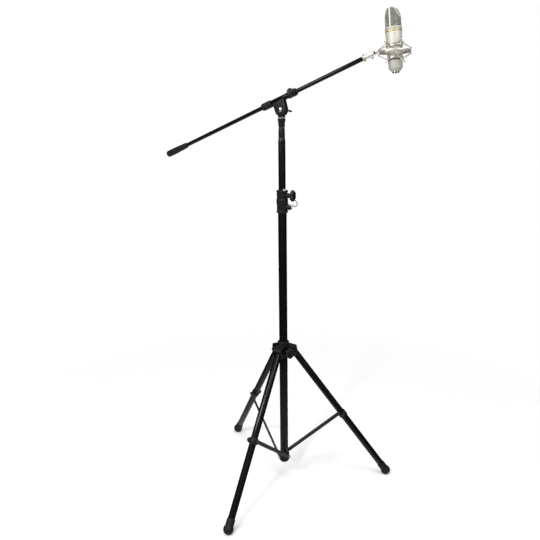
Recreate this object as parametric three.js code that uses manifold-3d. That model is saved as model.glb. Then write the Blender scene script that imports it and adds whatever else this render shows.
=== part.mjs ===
// Microphone boom stand: folding tripod, telescoping mast, tilting boom, elastic
// shock mount and large side-address microphone, as an assembly of separate pieces.
// Millimetres. +Z is up and +X is the way the boom points, seen from above.
// The origin is the centre of the flat underside of the mast.

import * as THREE from 'three';
import { mergeVertices } from 'three/addons/utils/BufferGeometryUtils.js';
import Module from 'manifold-3d';

const wasm = await Module();
wasm.setup();

// Fits that all pieces share
const touchGap = 0.3;
const cutOverrun = 2;

// Mast: lower tube, upper tube and the plug under them
const lowerTubeDiameter = 35;
const tubeSlideClearance = 1.6;
const tubeWall = 1.6;
const mastPlugFlangeHeight = 4;
const mastPlugFlangeProud = 0.5;
const mastPlugSpigotHeight = 22;
const lowerTubeTopHeight = 1178;
const upperTubeReach = 216.4;
const upperTubeLength = 960;

// Mast clutch: moulded housing, slide bush, lobed knob and pull pin
const clutchTubeGrip = 64.7;
const clutchHeight = 89;
const clutchWall = 3.95;
const clutchRimHeight = 5;
const clutchRimProud = 1.9;
const clutchBandHeight = 18;
const clutchBandProud = 1.6;
const clutchBushProud = 1.6;
const clutchBushLip = 1.2;
const clutchAzimuth = 12;
const clutchKnobRise = 68.3;
const clutchKnobDiameter = 44;
const clutchKnobThickness = 15;
const clutchKnobStemDiameter = 16.5;
const clutchKnobNeckLength = 10;
const clutchKnobBossDiameter = 21;
const clutchKnobBossProud = 5.75;
const clutchScrewDiameter = 8;

// Pull pin of the mast clutch, which droops toward its ring
const pinRise = 29.7;
const pinDroop = 18;
const pinDiameter = 6;
const pinBossDiameter = 21;
const pinBossProud = 9.25;
const pinHeadDiameter = 18.4;
const pinHeadLength = 5.5;
const pinEyeTabLength = 6;
const pinEyeTabWidth = 9;
const pinEyeTabThickness = 3.2;
const pinRingRadius = 11;
const pinRingWireDiameter = 1.8;
const pinRingRise = 57;
const lanyardDiameter = 2.4;

// Tripod: the hub slides on the lower tube and the braces end at the mast foot
const firstLegAzimuth = 33.56;
const legCount = 3;
const legPivotRadius = 48;
const legPivotHeight = 516.6;
const footCircleRadius = 453.6;
const mastFloorGap = 74.5;
const legDiameter = 28.6;
const legTopReach = 5;
const footBallProud = 3.7;
const footFlatDepth = 0.8;
const footSleeveWall = 2.2;
const footSleeveLength = 30;
const footTubeSeatShare = 0.5;
const clipDistance = 360;
const clipLength = 24;
const clipWall = 2.9;
const clipLugDiameter = 19;
const clipFarLugProud = 7;

// Hub casting
const hubBelowPivot = 11.6;
const hubSleeveWall = 6.4;
const hubSleeveChamfer = 3;
const hubHoodFront = 10;
const hubHoodWall = 6.2;
const hubCeilingAbovePivot = 14.8;
const hubLidThickness = 10.6;
const hubRoofRise = 8;
const hubSleeveRise = 16;
const hubHoodRound = 7;
const hubCheekRadius = 11;
const hubKnobAbovePivot = 9.4;
const hubKnobDiameter = 45;
const hubKnobThickness = 17;
const hubKnobNeckLength = 8;
const hubKnobBossDiameter = 23;
const hubKnobBossProud = 11.8;
const knobLobeCount = 6;

// Fasteners of the tripod
const boltShankDiameter = 8;
const boltHeadDiameter = 13;
const boltHeadHeight = 4;
const boltNutAcross = 13;
const boltNutHeight = 5;

// Spreader collar and the three channel-section braces
const spreaderBottomHeight = 6;
const spreaderHeight = 32;
const spreaderFlatWall = 2.7;
const spreaderWall = 5.2;
const braceBoltHeight = 22;
const braceWidth = 16;
const braceThickness = 4;
const braceFlange = 1.8;
const bracePocketDepth = 2.2;
const bracePocketInset = 17;

// Mast head: reducer, threaded sleeve and the cone under the swivel
const reducerHeight = 11.6;
const reducerSpigotLength = 24;
const mastStudDiameter = 12;
const sleeveDiameter = 25.4;
const sleeveHeight = 34;
const grooveDiameter = 23.4;
const grooveHeight = 7;
const swivelConeBottomDiameter = 25.6;
const swivelConeTopDiameter = 31;
const swivelConeHeight = 32.2;
const swivelConeTaperHeight = 14;
const swivelConeLipHeight = 4;
const swivelWasherDiameter = 26.6;
const swivelWasherHeight = 4.2;

// Tilting head: knuckle, boom bracket and its clamp tube with two clutches
const knuckleBaseHeight = 2.7;
const knuckleBaseDiameter = 33;
const tongueInset = 4;
const tongueThickness = 8.8;
const bracketRadius = 25;
const bracketThickness = 20;
const bracketRearProud = 0.5;
const bracketFrontProud = 3;
const bracketSwingClearance = 0.5;
const bracketSlotClearance = 1;
const bracketBridge = 5.3;
const boomTilt = 20.28;
const clampTubeWall = 2.85;
const clampTubeRear = 40;
const clampTubeFront = 52;
const boomClutchWall = 3.1;
const rearClutchLength = 45.5;
const frontClutchLength = 40.5;
const boomClutchChamfer = 6;
const boomClutchLip = 3;
const boomClutchOverlap = 6;
const pivotBoltDiameter = 8;
const pivotDomeDiameter = 17.5;
const pivotDomeHeight = 5;
const tiltScrewHubDiameter = 15;
const tiltScrewHubLength = 17;
const tiltBarDiameter = 7;
const tiltBarLength = 62;
const tiltBarTurn = -12;
const tiltTipShare = 0.68;
const boomKnobFromLip = 25;
const boomKnobDiameter = 28;
const boomKnobThickness = 9;
const boomKnobTurn = 8;
const boomKnobBossDiameter = 14;
const boomKnobBossProud = 4;
const boomScrewDiameter = 6;

// Boom: tube, rear counterweight grip and the nickel adapter at the front
const boomDiameter = 15.9;
const boomWall = 1.5;
const boomFrontReach = 377.7;
const boomRearReach = 626.3;
const gripLength = 122.8;
const gripDiameter = 28;
const gripFrontDiameter = 22.6;
const gripShoulderShare = 0.45;
const gripEndWall = 14;
const flangeDiameter = 25.6;
const flangeThickness = 2.2;
const adapterStudDiameter = 9;
const adapterStudLength = 16;
const adapterBarrelDiameter = 16;
const adapterBarrelLength = 21;
const adapterNeckDiameter = 12.6;
const adapterNeckLength = 20;
const jointPinStandOff = 10;
const jointEyeRadius = 4.6;
const jointEyeThickness = 6;
const jointCheekThickness = 2.6;
const jointWebStartShare = 0.45;
const jointPinDiameter = 4;
const thumbScrewFromBarrel = 7.5;
const thumbScrewDiameter = 9;
const thumbScrewHeadLength = 7;
const thumbScrewShankDiameter = 4;
const thumbScrewStandOff = 1.2;

// Shock mount, about the centre of its outer ring; what hangs in it leans further
const ringLean = 1.6;
const suspendedLean = 4.3;
const ringRadius = 54;
const ringThickness = 2;
const ringHeight = 9;
const jointRingStandOff = 9.2;
const jointAboveRing = 6.5;
const hookCount = 4;
const hookPhase = 58;
const hookSpread = 10;
const hookRise = 11;
const hookWireDiameter = 3;
const hookBallDiameter = 5.4;
const lugHeight = 6;
const lugBallDiameter = 4.4;
const cordDiameter = 2.2;
const cradleTopHeight = 22;
const cradleBottomHeight = -25;
const cradleWall = 1.8;
const cradleBandHeight = 8;
const cradleStrapWidth = 11;
const cradleClampAzimuth = -30;
const cradleEarReach = 9;
const cradleEarThickness = 2.4;
const cradleEarHeight = 10;
const cradleScrewDiameter = 5;
const cradleScrewLength = 16;

// Microphone, about the same centre
const micTopDiameter = 56;
const micBottomDiameter = 47.6;
const micShoulderHeight = 71;
const micTaperBottomHeight = -49;
const micCapHeight = 15;
const micCapBottomDiameter = 31;
const micFloorThickness = 3;
const micWall = 2;
const goldRingBelowShoulder = 6.2;
const goldRingWidth = 3.2;
const goldRingGroove = 1;
const headRingHeight = 6.5;
const headRingProud = 0.6;
const grilleHeight = 61.4;
const grilleWall = 1.6;
const grilleStraightShare = 0.39;
const grilleRidgeShare = 0.28;
const grilleCrownShare = 0.26;
const ribWidth = 6.5;
const ribThickness = 1.4;
const capsuleDiameter = 34;
const capsuleThickness = 9;
const capsuleCentreShare = 0.5;
const capsulePostDiameter = 10;
const xlrDiameter = 24;
const xlrLength = 4.5;
const xlrWall = 2.2;
const xlrPinDiameter = 2.4;
const xlrPinCircleDiameter = 9;

// Facets of round pieces
const tubeSides = 24;
const partSides = 16;
const smallSides = 10;
const lanyardSides = 8;
const domeSteps = 4;
const cordSides = 6;
const elasticSides = 5;

// Colours of the photographed finishes
const finishes = {
  blackPaint: { color: 0x121312, roughness: 0.32, metalness: 0.2 },
  bracePaint: { color: 0x2a2a28, roughness: 0.5, metalness: 0.2 },
  charcoalPlastic: { color: 0x272a29, roughness: 0.62, metalness: 0 },
  knobPlastic: { color: 0x191a1b, roughness: 0.45, metalness: 0 },
  rubber: { color: 0x171717, roughness: 0.85, metalness: 0 },
  bushPlastic: { color: 0xb9b9b0, roughness: 0.5, metalness: 0 },
  zinc: { color: 0x9a9c9c, roughness: 0.35, metalness: 1 },
  chrome: { color: 0xdadad8, roughness: 0.12, metalness: 1 },
  nickel: { color: 0xcdc6b6, roughness: 0.2, metalness: 1 },
  micSatin: { color: 0xb9b5a4, roughness: 0.38, metalness: 1 },
  micMesh: { color: 0x8c8a7c, roughness: 0.5, metalness: 0.9 },
  gold: { color: 0xd2a64c, roughness: 0.25, metalness: 1 },
  elastic: { color: 0xc9c7c0, roughness: 0.6, metalness: 0 },
  cordBlack: { color: 0x1b1b1b, roughness: 0.8, metalness: 0 },
};

// Sizes worked out from the ones above
const lowerTubeRadius = lowerTubeDiameter / 2;
const upperTubeDiameter = lowerTubeDiameter - 2 * (tubeWall + tubeSlideClearance);
const mastPlugFlangeDiameter = lowerTubeDiameter + 2 * mastPlugFlangeProud;
const upperTubeRadius = upperTubeDiameter / 2;
const legRadius = legDiameter / 2;
const boomRadius = boomDiameter / 2;
const clutchBore = lowerTubeRadius + touchGap;
const clutchBodyRadius = clutchBore + clutchWall;
const clutchKnobBossReach = clutchBodyRadius + clutchKnobBossProud;
const clutchKnobReach = clutchKnobBossReach + clutchKnobNeckLength;
const pinBossReach = clutchBodyRadius + pinBossProud;
const clutchBottomHeight = lowerTubeTopHeight - clutchTubeGrip;
const clutchKnobHeight = clutchBottomHeight + clutchKnobRise;
const pinHeight = clutchBottomHeight + pinRise;
const upperTubeTopHeight = lowerTubeTopHeight + upperTubeReach;
const hubSleeveDiameter = 2 * (clutchBore + hubSleeveWall);
const hubHoodReach = legPivotRadius + hubHoodFront;
const hubKnobBossReach = hubSleeveDiameter / 2 + hubKnobBossProud;
const hubKnobReach = hubKnobBossReach + hubKnobNeckLength;
const hubBottomHeight = legPivotHeight - hubBelowPivot;
const hubCeilingHeight = legPivotHeight + hubCeilingAbovePivot;
const hubEaveHeight = hubCeilingHeight + hubLidThickness;
const hubRoofHeight = hubEaveHeight + hubRoofRise;
const hubTopHeight = hubRoofHeight + hubSleeveRise;
const hubKnobHeight = legPivotHeight + hubKnobAbovePivot;
const spreaderOuterDiameter = 2 * (clutchBore + spreaderWall);
const spreaderFlatOffset = clutchBore + spreaderFlatWall;
const clipFarLugReach = legRadius + touchGap + clipWall + clipFarLugProud;
const footSleeveDiameter = legDiameter + 2 * (touchGap + footSleeveWall);
const footBallRadius = footSleeveDiameter / 2 + footBallProud;
const footCentreHeight = footBallRadius - footFlatDepth - mastFloorGap;
const legDrop = legPivotHeight - footCentreHeight;
const legSpread = footCircleRadius - legPivotRadius;
const legLength = Math.hypot(legDrop, legSpread);
const legSplay = Math.atan2(legSpread, legDrop);
const clipRadius = legPivotRadius + clipDistance * Math.sin(legSplay);
const clipHeight = legPivotHeight - clipDistance * Math.cos(legSplay);
const braceRise = Math.atan2(clipHeight - braceBoltHeight, clipRadius);
const braceLength = Math.hypot(clipHeight - braceBoltHeight, clipRadius);
const reducerTopHeight = upperTubeTopHeight + touchGap + reducerHeight;
const sleeveBottomHeight = reducerTopHeight + touchGap;
const coneBottomHeight = sleeveBottomHeight + sleeveHeight + grooveHeight + touchGap;
const washerBottomHeight = coneBottomHeight + swivelConeHeight + touchGap;
const knuckleBottomHeight = washerBottomHeight + swivelWasherHeight + touchGap;
const pivotAboveWasher = knuckleBaseHeight + bracketSwingClearance + bracketRadius;
const tiltPivotHeight = knuckleBottomHeight + pivotAboveWasher;
const tongueRadius = bracketRadius - tongueInset;
const bracketRear = bracketRadius + bracketRearProud;
const bracketFront = bracketRadius + bracketFrontProud;
const bracketSlotHeight = tongueRadius + bracketSlotClearance;
const clampTubeDiameter = boomDiameter + 2 * (touchGap + clampTubeWall);
const boomAbovePivot = bracketSlotHeight + bracketBridge + clampTubeDiameter / 2;
const boomClutchDiameter = clampTubeDiameter + 2 * (touchGap + boomClutchWall);
const boomKnobPlace = clampTubeFront - boomClutchOverlap + boomKnobFromLip;
const boomKnobBossReach = boomClutchDiameter / 2 + boomKnobBossProud;
const flangeFrontReach = boomFrontReach + touchGap + flangeThickness;
const barrelFrontReach = flangeFrontReach + touchGap + adapterBarrelLength;
const thumbScrewPlace = barrelFrontReach + thumbScrewFromBarrel;
const tiltJointReach = barrelFrontReach + adapterNeckLength + jointPinStandOff;
const jointFromRing = ringRadius + jointRingStandOff;
const hookRadius = micTopDiameter / 2 + hookSpread;
const hookHeight = cradleTopHeight + hookRise;
const goldRingHeight = micShoulderHeight - goldRingBelowShoulder;

// Turns a three.js geometry into a manifold solid
function solidOf(geometry) {
  const bare = geometry.index ? geometry.toNonIndexed() : geometry.clone();
  bare.deleteAttribute('normal');
  bare.deleteAttribute('uv');
  const merged = mergeVertices(bare);
  const corners = merged.index.array;
  const kept = [];
  for (let i = 0; i < corners.length; i += 3) {
    const [a, b, c] = [corners[i], corners[i + 1], corners[i + 2]];
    if (a !== b && b !== c && c !== a) kept.push(a, b, c);
  }
  const vertProperties = Float32Array.from(merged.attributes.position.array);
  let solid = new wasm.Manifold(
    new wasm.Mesh({ numProp: 3, vertProperties, triVerts: Uint32Array.from(kept) }),
  );
  if (solid.volume() < 0) {
    solid = new wasm.Manifold(
      new wasm.Mesh({ numProp: 3, vertProperties, triVerts: Uint32Array.from(kept).reverse() }),
    );
  }
  return solid;
}

// A named mesh of one finished solid, with a material of its own
function piece(name, solid, finish) {
  const data = solid.getMesh();
  const geometry = new THREE.BufferGeometry();
  const places = new Float32Array((data.vertProperties.length / data.numProp) * 3);
  for (let i = 0; i < places.length / 3; i += 1) {
    for (let axis = 0; axis < 3; axis += 1) {
      places[3 * i + axis] = data.vertProperties[data.numProp * i + axis];
    }
  }
  geometry.setAttribute('position', new THREE.BufferAttribute(places, 3));
  geometry.setIndex(new THREE.BufferAttribute(Uint32Array.from(data.triVerts), 1));
  geometry.computeVertexNormals();
  const mesh = new THREE.Mesh(geometry, new THREE.MeshStandardMaterial(finishes[finish]));
  mesh.name = name;
  return mesh;
}

// A round bar or cone along +Z from the origin
function rod(radius, length, sides = partSides, topRadius = radius) {
  const geometry = new THREE.CylinderGeometry(topRadius, radius, length, sides);
  geometry.rotateX(Math.PI / 2);
  geometry.translate(0, 0, length / 2);
  return solidOf(geometry);
}

// A solid turned about +Z from [radius, height] points
function turned(profile, sides = partSides) {
  const points = profile.map(([radius, height]) => new THREE.Vector2(radius, height));
  const geometry = new THREE.LatheGeometry(points, sides);
  geometry.rotateX(Math.PI / 2);
  return solidOf(geometry);
}

// A closed ring turned about +Z from [radius, height] points
function turnedRing(profile, sides = partSides) {
  return turned([...profile, profile[0]], sides);
}

// A tube along +Z from bottom to top
function tube(outer, inner, bottom, top, sides = tubeSides) {
  return turnedRing([[inner, bottom], [outer, bottom], [outer, top], [inner, top]], sides);
}

// A box centred on X and Y that stands on Z = 0
function block(width, depth, height) {
  const geometry = new THREE.BoxGeometry(width, depth, height);
  geometry.translate(0, 0, height / 2);
  return solidOf(geometry);
}

// A plate of an outline drawn in X and Z, with its thickness along Y from near to far
function uprightPlate(outline, near, far, curveSegments = 10) {
  const geometry = new THREE.ExtrudeGeometry(outline, {
    depth: far - near,
    bevelEnabled: false,
    curveSegments,
  });
  geometry.rotateX(Math.PI / 2);
  geometry.translate(0, far, 0);
  return solidOf(geometry);
}

// A round bar along Y from near to far, centred at x and z
function crossRod(radius, near, far, x = 0, z = 0, sides = smallSides) {
  return rod(radius, far - near, sides).rotate([-90, 0, 0]).translate([x, near, z]);
}

// A ball
function ball(radius, sides = smallSides) {
  return solidOf(new THREE.SphereGeometry(radius, sides, Math.round(sides / 2)));
}

// A straight bar between two points
function strut(start, end, radius, sides = cordSides) {
  const along = new THREE.Vector3().subVectors(end, start);
  const geometry = new THREE.CylinderGeometry(radius, radius, along.length(), sides);
  const turn = new THREE.Quaternion();
  turn.setFromUnitVectors(new THREE.Vector3(0, 1, 0), along.clone().normalize());
  geometry.applyQuaternion(turn);
  const middle = new THREE.Vector3().addVectors(start, end).multiplyScalar(1 / 2);
  geometry.translate(middle.x, middle.y, middle.z);
  return solidOf(geometry);
}

// A point at a radius, an azimuth in degrees and a height
function around(radius, azimuth, height) {
  const angle = THREE.MathUtils.degToRad(azimuth);
  return new THREE.Vector3(radius * Math.cos(angle), radius * Math.sin(angle), height);
}

// A solid built along +Z is laid out along +X
function outward(solid) {
  return solid.rotate([0, 90, 0]);
}

// A group turned about +Z, at a place
function turnedGroup(azimuth, x = 0, y = 0, z = 0) {
  const group = new THREE.Group();
  group.position.set(x, y, z);
  group.rotation.z = THREE.MathUtils.degToRad(azimuth);
  return group;
}

// A hexagon bar along Z, measured across its flats
function hexagon(across, height) {
  return rod(across / 2 / Math.cos(Math.PI / 6), height, 6);
}

// A lobed hand knob with its stem and screw, along +Z, its screw tip at Z = 0
function lobedKnob(diameter, thickness, faceHeight, stem, screw) {
  const lobeRadiusShare = 0.2;
  const lobeCentreShare = 0.32;
  const coreShare = 0.4;
  const roundShare = 0.22;
  const lobeRadius = diameter * lobeRadiusShare;
  const bottom = faceHeight - thickness;
  const edge = thickness * roundShare;
  let body = turned([
    [0, bottom],
    [diameter * coreShare, bottom],
    [diameter * coreShare, faceHeight - edge],
    [diameter * coreShare - edge, faceHeight],
    [0, faceHeight],
  ], partSides);
  for (let i = 0; i < knobLobeCount; i += 1) {
    const place = around(diameter * lobeCentreShare, (360 * i) / knobLobeCount, 0);
    const lobe = turned([
      [0, bottom],
      [lobeRadius - edge / 2, bottom],
      [lobeRadius, bottom + edge / 2],
      [lobeRadius, faceHeight - edge],
      [lobeRadius - edge, faceHeight],
      [0, faceHeight],
    ], smallSides);
    body = body.add(lobe.translate([place.x, place.y, 0]));
  }
  const neck = rod(stem.diameter / 2, bottom + cutOverrun - stem.bottom, partSides);
  const thread = rod(screw.diameter / 2, stem.bottom + cutOverrun, smallSides);
  return body.add(neck.translate([0, 0, stem.bottom])).add(thread);
}

// A bolt along +Y: head at the near end, nut at the far end
function crossBolt(headFace, nutFace) {
  const head = crossRod(boltHeadDiameter / 2, headFace - boltHeadHeight, headFace);
  const shank = crossRod(boltShankDiameter / 2, headFace - boltHeadHeight, nutFace + boltNutHeight);
  const nut = hexagon(boltNutAcross, boltNutHeight).rotate([-90, 0, 0]).translate([0, nutFace, 0]);
  return head.add(shank).add(nut);
}

// Lower mast

function mastEndPlug() {
  const spigotRadius = lowerTubeRadius - tubeWall - touchGap;
  const flangeRadius = mastPlugFlangeDiameter / 2;
  const edge = mastPlugFlangeHeight / 4;
  return turned([
    [0, 0],
    [flangeRadius - edge, 0],
    [flangeRadius, edge],
    [flangeRadius, mastPlugFlangeHeight],
    [spigotRadius, mastPlugFlangeHeight],
    [spigotRadius, mastPlugFlangeHeight + mastPlugSpigotHeight],
    [0, mastPlugFlangeHeight + mastPlugSpigotHeight],
  ], tubeSides);
}

function lowerTube() {
  const bottom = mastPlugFlangeHeight + touchGap;
  const body = tube(lowerTubeRadius, lowerTubeRadius - tubeWall, bottom, lowerTubeTopHeight);
  return body.subtract(pinTunnel());
}

// The drooping hole that the pull pin runs in
function pinTunnel() {
  const reach = pinBossReach + cutOverrun;
  const tunnel = outward(rod(pinDiameter / 2 + touchGap, reach, smallSides));
  return tunnel.rotate([0, pinDroop, clutchAzimuth]).translate([0, 0, pinHeight]);
}

function spreaderCollar() {
  const bottom = spreaderBottomHeight;
  const top = bottom + spreaderHeight;
  let body = tube(spreaderOuterDiameter / 2, lowerTubeRadius + touchGap, bottom, top);
  for (let i = 0; i < legCount; i += 1) {
    const azimuth = legAzimuth(i) + 90;
    const outside = block(spreaderOuterDiameter, 2 * spreaderOuterDiameter, spreaderHeight + 2 * cutOverrun);
    const cut = outside.translate([
      spreaderFlatOffset + spreaderOuterDiameter / 2,
      0,
      bottom - cutOverrun,
    ]);
    body = body.subtract(cut.rotate([0, 0, azimuth]));
    const depth = spreaderOuterDiameter;
    const hole = outward(rod(boltShankDiameter / 2 + touchGap, depth, smallSides));
    body = body.subtract(hole.translate([0, 0, braceBoltHeight]).rotate([0, 0, azimuth]));
  }
  return body;
}

// A shoulder bolt that holds a brace against the collar
function spreaderBolt() {
  const shankRadius = boltShankDiameter / 2;
  const tip = lowerTubeRadius + touchGap;
  const headFace = spreaderFlatOffset + touchGap + braceThickness + touchGap;
  const shank = outward(rod(shankRadius, headFace - tip, smallSides)).translate([tip, 0, 0]);
  const head = outward(rod(boltHeadDiameter / 2, boltHeadHeight, smallSides));
  return shank.add(head.translate([headFace, 0, 0]));
}

function clutchHousing() {
  const bottom = clutchBottomHeight;
  const top = bottom + clutchHeight;
  const middle = bottom + clutchHeight / 2;
  const rim = clutchBodyRadius + clutchRimProud;
  const band = clutchBodyRadius + clutchBandProud;
  const halfBand = clutchBandHeight / 2;
  let body = turnedRing([
    [clutchBore, bottom],
    [rim - clutchRimProud, bottom],
    [rim, bottom + clutchRimProud],
    [rim, bottom + clutchRimHeight],
    [clutchBodyRadius, bottom + clutchRimHeight + clutchRimProud],
    [clutchBodyRadius, middle - halfBand - clutchBandProud],
    [band, middle - halfBand],
    [band, middle + halfBand],
    [clutchBodyRadius, middle + halfBand + clutchBandProud],
    [clutchBodyRadius, top - clutchRimHeight - clutchRimProud],
    [rim, top - clutchRimHeight],
    [rim, top - clutchRimProud / 2],
    [rim - clutchRimProud / 2, top],
    [clutchBore, top],
  ], tubeSides);
  const knobBoss = outward(rod(clutchKnobBossDiameter / 2, clutchKnobBossReach, partSides));
  const knobHole = outward(rod(clutchScrewDiameter / 2 + touchGap, clutchKnobReach, smallSides));
  const pinBoss = outward(rod(pinBossDiameter / 2, pinBossReach, partSides, pinHeadDiameter / 2));
  const bore = rod(clutchBore, clutchHeight + 2 * cutOverrun, tubeSides);
  body = body.add(knobBoss.rotate([0, 0, clutchAzimuth]).translate([0, 0, clutchKnobHeight]));
  body = body.add(pinBoss.rotate([0, pinDroop, clutchAzimuth]).translate([0, 0, pinHeight]));
  body = body.subtract(bore.translate([0, 0, bottom - cutOverrun]));
  body = body.subtract(knobHole.rotate([0, 0, clutchAzimuth]).translate([0, 0, clutchKnobHeight]));
  return body.subtract(pinTunnel());
}

function clutchBush() {
  const inner = upperTubeRadius + touchGap;
  const bottom = lowerTubeTopHeight + touchGap;
  const top = clutchBottomHeight + clutchHeight;
  const lip = lowerTubeRadius + clutchBushLip;
  return turnedRing([
    [inner, bottom],
    [lowerTubeRadius, bottom],
    [lowerTubeRadius, top + touchGap],
    [lip, top + touchGap],
    [lip - clutchBushProud / 2, top + touchGap + clutchBushProud],
    [inner, top + touchGap + clutchBushProud],
  ], tubeSides);
}

// The knob's screw ends against the bush
function clutchKnob() {
  const tip = lowerTubeRadius + touchGap;
  const stem = { diameter: clutchKnobStemDiameter, bottom: clutchKnobBossReach + touchGap - tip };
  const screw = { diameter: clutchScrewDiameter };
  const face = clutchKnobReach + clutchKnobThickness - tip;
  return lobedKnob(clutchKnobDiameter, clutchKnobThickness, face, stem, screw);
}

function safetyPin() {
  const droop = THREE.MathUtils.degToRad(pinDroop);
  const tubeFace = upperTubeRadius + touchGap;
  const tip = (tubeFace + (pinDiameter / 2) * Math.sin(droop)) / Math.cos(droop);
  const seat = pinBossReach + touchGap;
  const shank = rod(pinDiameter / 2, seat + pinHeadLength - tip, smallSides).translate([0, 0, tip]);
  const edge = pinHeadLength / 4;
  const head = turned([
    [0, seat],
    [pinHeadDiameter / 2, seat],
    [pinHeadDiameter / 2, seat + pinHeadLength - edge],
    [pinHeadDiameter / 2 - edge, seat + pinHeadLength],
    [0, seat + pinHeadLength],
  ]);
  const tab = block(pinEyeTabWidth, pinEyeTabThickness, pinEyeTabLength + cutOverrun);
  const eyeRadius = pinRingWireDiameter / 2 + touchGap + touchGap / 2;
  const eye = crossRod(eyeRadius, -pinEyeTabThickness, pinEyeTabThickness, 0, pinEyeReach());
  const body = shank.add(head).add(tab.translate([0, 0, seat + pinHeadLength - cutOverrun]));
  return body.subtract(eye);
}

function pinEyeReach() {
  return pinBossReach + touchGap + pinHeadLength + pinEyeTabLength / 2;
}

function pinRing() {
  return solidOf(new THREE.TorusGeometry(pinRingRadius, pinRingWireDiameter / 2, cordSides, partSides));
}

// The black cord from the pin boss to the knob boss, in the clutch's own frame:
// X outward, Y to the far side, Z up from the pin
const lanyardPoints = [
  [18.4, 13.5, 3],
  [27, 14, 1],
  [41, 14.4, -5.5],
  [50, 14.4, -5.6],
  [56.5, 14.6, 0],
  [57.5, 15.5, 8],
  [53, 18.5, 14],
  [45.5, 22.5, 19],
  [36, 25.5, 25],
  [23, 26, 31],
  [14.1, 17, 33],
];

function pinLanyard() {
  const route = lanyardPoints.map(([x, y, z]) => new THREE.Vector3(x, y, z));
  const section = new THREE.Shape();
  section.absarc(0, 0, lanyardDiameter / 2, 0, 2 * Math.PI);
  return solidOf(new THREE.ExtrudeGeometry(section, {
    steps: 30,
    curveSegments: lanyardSides / 2,
    extrudePath: new THREE.CatmullRomCurve3(route),
  }));
}

// Tripod

function legAzimuth(index) {
  return firstLegAzimuth + (360 * index) / legCount;
}

// The side outline of one hood of the hub, in radius and height about the leg pivot
function hoodOutline() {
  const roof = hubRoofHeight - legPivotHeight;
  const eave = hubEaveHeight - legPivotHeight;
  const front = hubHoodReach - legPivotRadius;
  const outline = new THREE.Shape();
  outline.moveTo(-legPivotRadius, roof);
  outline.lineTo(-legPivotRadius, hubBottomHeight - legPivotHeight);
  outline.lineTo(0, -hubCheekRadius);
  outline.absarc(0, 0, hubCheekRadius, -Math.PI / 2, 0, false);
  outline.lineTo(front, hubCeilingHeight - legPivotHeight);
  outline.lineTo(front, eave - hubHoodRound);
  outline.absarc(front - hubHoodRound, eave - hubHoodRound, hubHoodRound, 0, Math.PI / 2, false);
  outline.lineTo(hubSleeveDiameter / 2 - legPivotRadius, roof);
  return outline;
}

// The room under one hood, where the leg's end swings
function hoodRoom(halfWidth) {
  const back = hubSleeveDiameter / 2 - legPivotRadius;
  const front = hubHoodReach - legPivotRadius + cutOverrun;
  const below = hubCheekRadius + cutOverrun;
  const ceiling = hubCeilingHeight - legPivotHeight;
  return block(front - back, 2 * halfWidth, ceiling + below)
    .translate([(front + back) / 2, 0, -below]);
}

function hubCasting() {
  const sleeveRadius = hubSleeveDiameter / 2;
  const roomHalf = legRadius + 2 * touchGap;
  const hoodHalf = roomHalf + hubHoodWall;
  let body = turned([
    [0, hubBottomHeight],
    [sleeveRadius, hubBottomHeight],
    [sleeveRadius, hubTopHeight - hubSleeveChamfer],
    [sleeveRadius - hubSleeveChamfer, hubTopHeight],
    [0, hubTopHeight],
  ], tubeSides);
  for (let i = 0; i < legCount; i += 1) {
    const hood = uprightPlate(hoodOutline(), -hoodHalf, hoodHalf, 4);
    body = body.add(hood.translate([legPivotRadius, 0, legPivotHeight]).rotate([0, 0, legAzimuth(i)]));
  }
  for (let i = 0; i < legCount; i += 1) {
    const reach = hoodHalf + cutOverrun;
    const bolt = crossRod(boltShankDiameter / 2 + touchGap, -reach, reach);
    const cut = hoodRoom(roomHalf).add(bolt).translate([legPivotRadius, 0, legPivotHeight]);
    body = body.subtract(cut.rotate([0, 0, legAzimuth(i)]));
  }
  const boss = outward(rod(hubKnobBossDiameter / 2, hubKnobBossReach, partSides));
  const hole = outward(rod(clutchScrewDiameter / 2 + touchGap, hubKnobReach, smallSides));
  body = body.add(boss.rotate([0, 0, hubKnobAzimuth()]).translate([0, 0, hubKnobHeight]));
  body = body.subtract(hole.rotate([0, 0, hubKnobAzimuth()]).translate([0, 0, hubKnobHeight]));
  const bore = rod(lowerTubeRadius + touchGap, 2 * hubTopHeight, tubeSides);
  return body.subtract(bore);
}

function hubKnobAzimuth() {
  return firstLegAzimuth - 180 / legCount;
}

function hubKnob() {
  const tip = lowerTubeRadius + touchGap;
  const stem = { diameter: clutchKnobStemDiameter, bottom: hubKnobBossReach + touchGap - tip };
  const screw = { diameter: clutchScrewDiameter };
  const face = hubKnobReach + hubKnobThickness - tip;
  return lobedKnob(hubKnobDiameter, hubKnobThickness, face, stem, screw);
}

// Leg pieces hang along -Z from the hub pivot
function legTube() {
  const bottom = -(legLength - footBallRadius * footTubeSeatShare);
  const body = tube(legRadius, legRadius - tubeWall, bottom, legTopReach, partSides);
  const reach = legRadius + cutOverrun;
  const pivotHole = crossRod(boltShankDiameter / 2 + touchGap, -reach, reach);
  const clipHole = crossRod(boltShankDiameter / 2 + touchGap, -reach, reach, 0, -clipDistance);
  return body.subtract(pivotHole).subtract(clipHole);
}

function legPivotBolt() {
  const hoodHalf = legRadius + 2 * touchGap + hubHoodWall;
  return crossBolt(-hoodHalf - touchGap, hoodHalf + touchGap);
}

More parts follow.
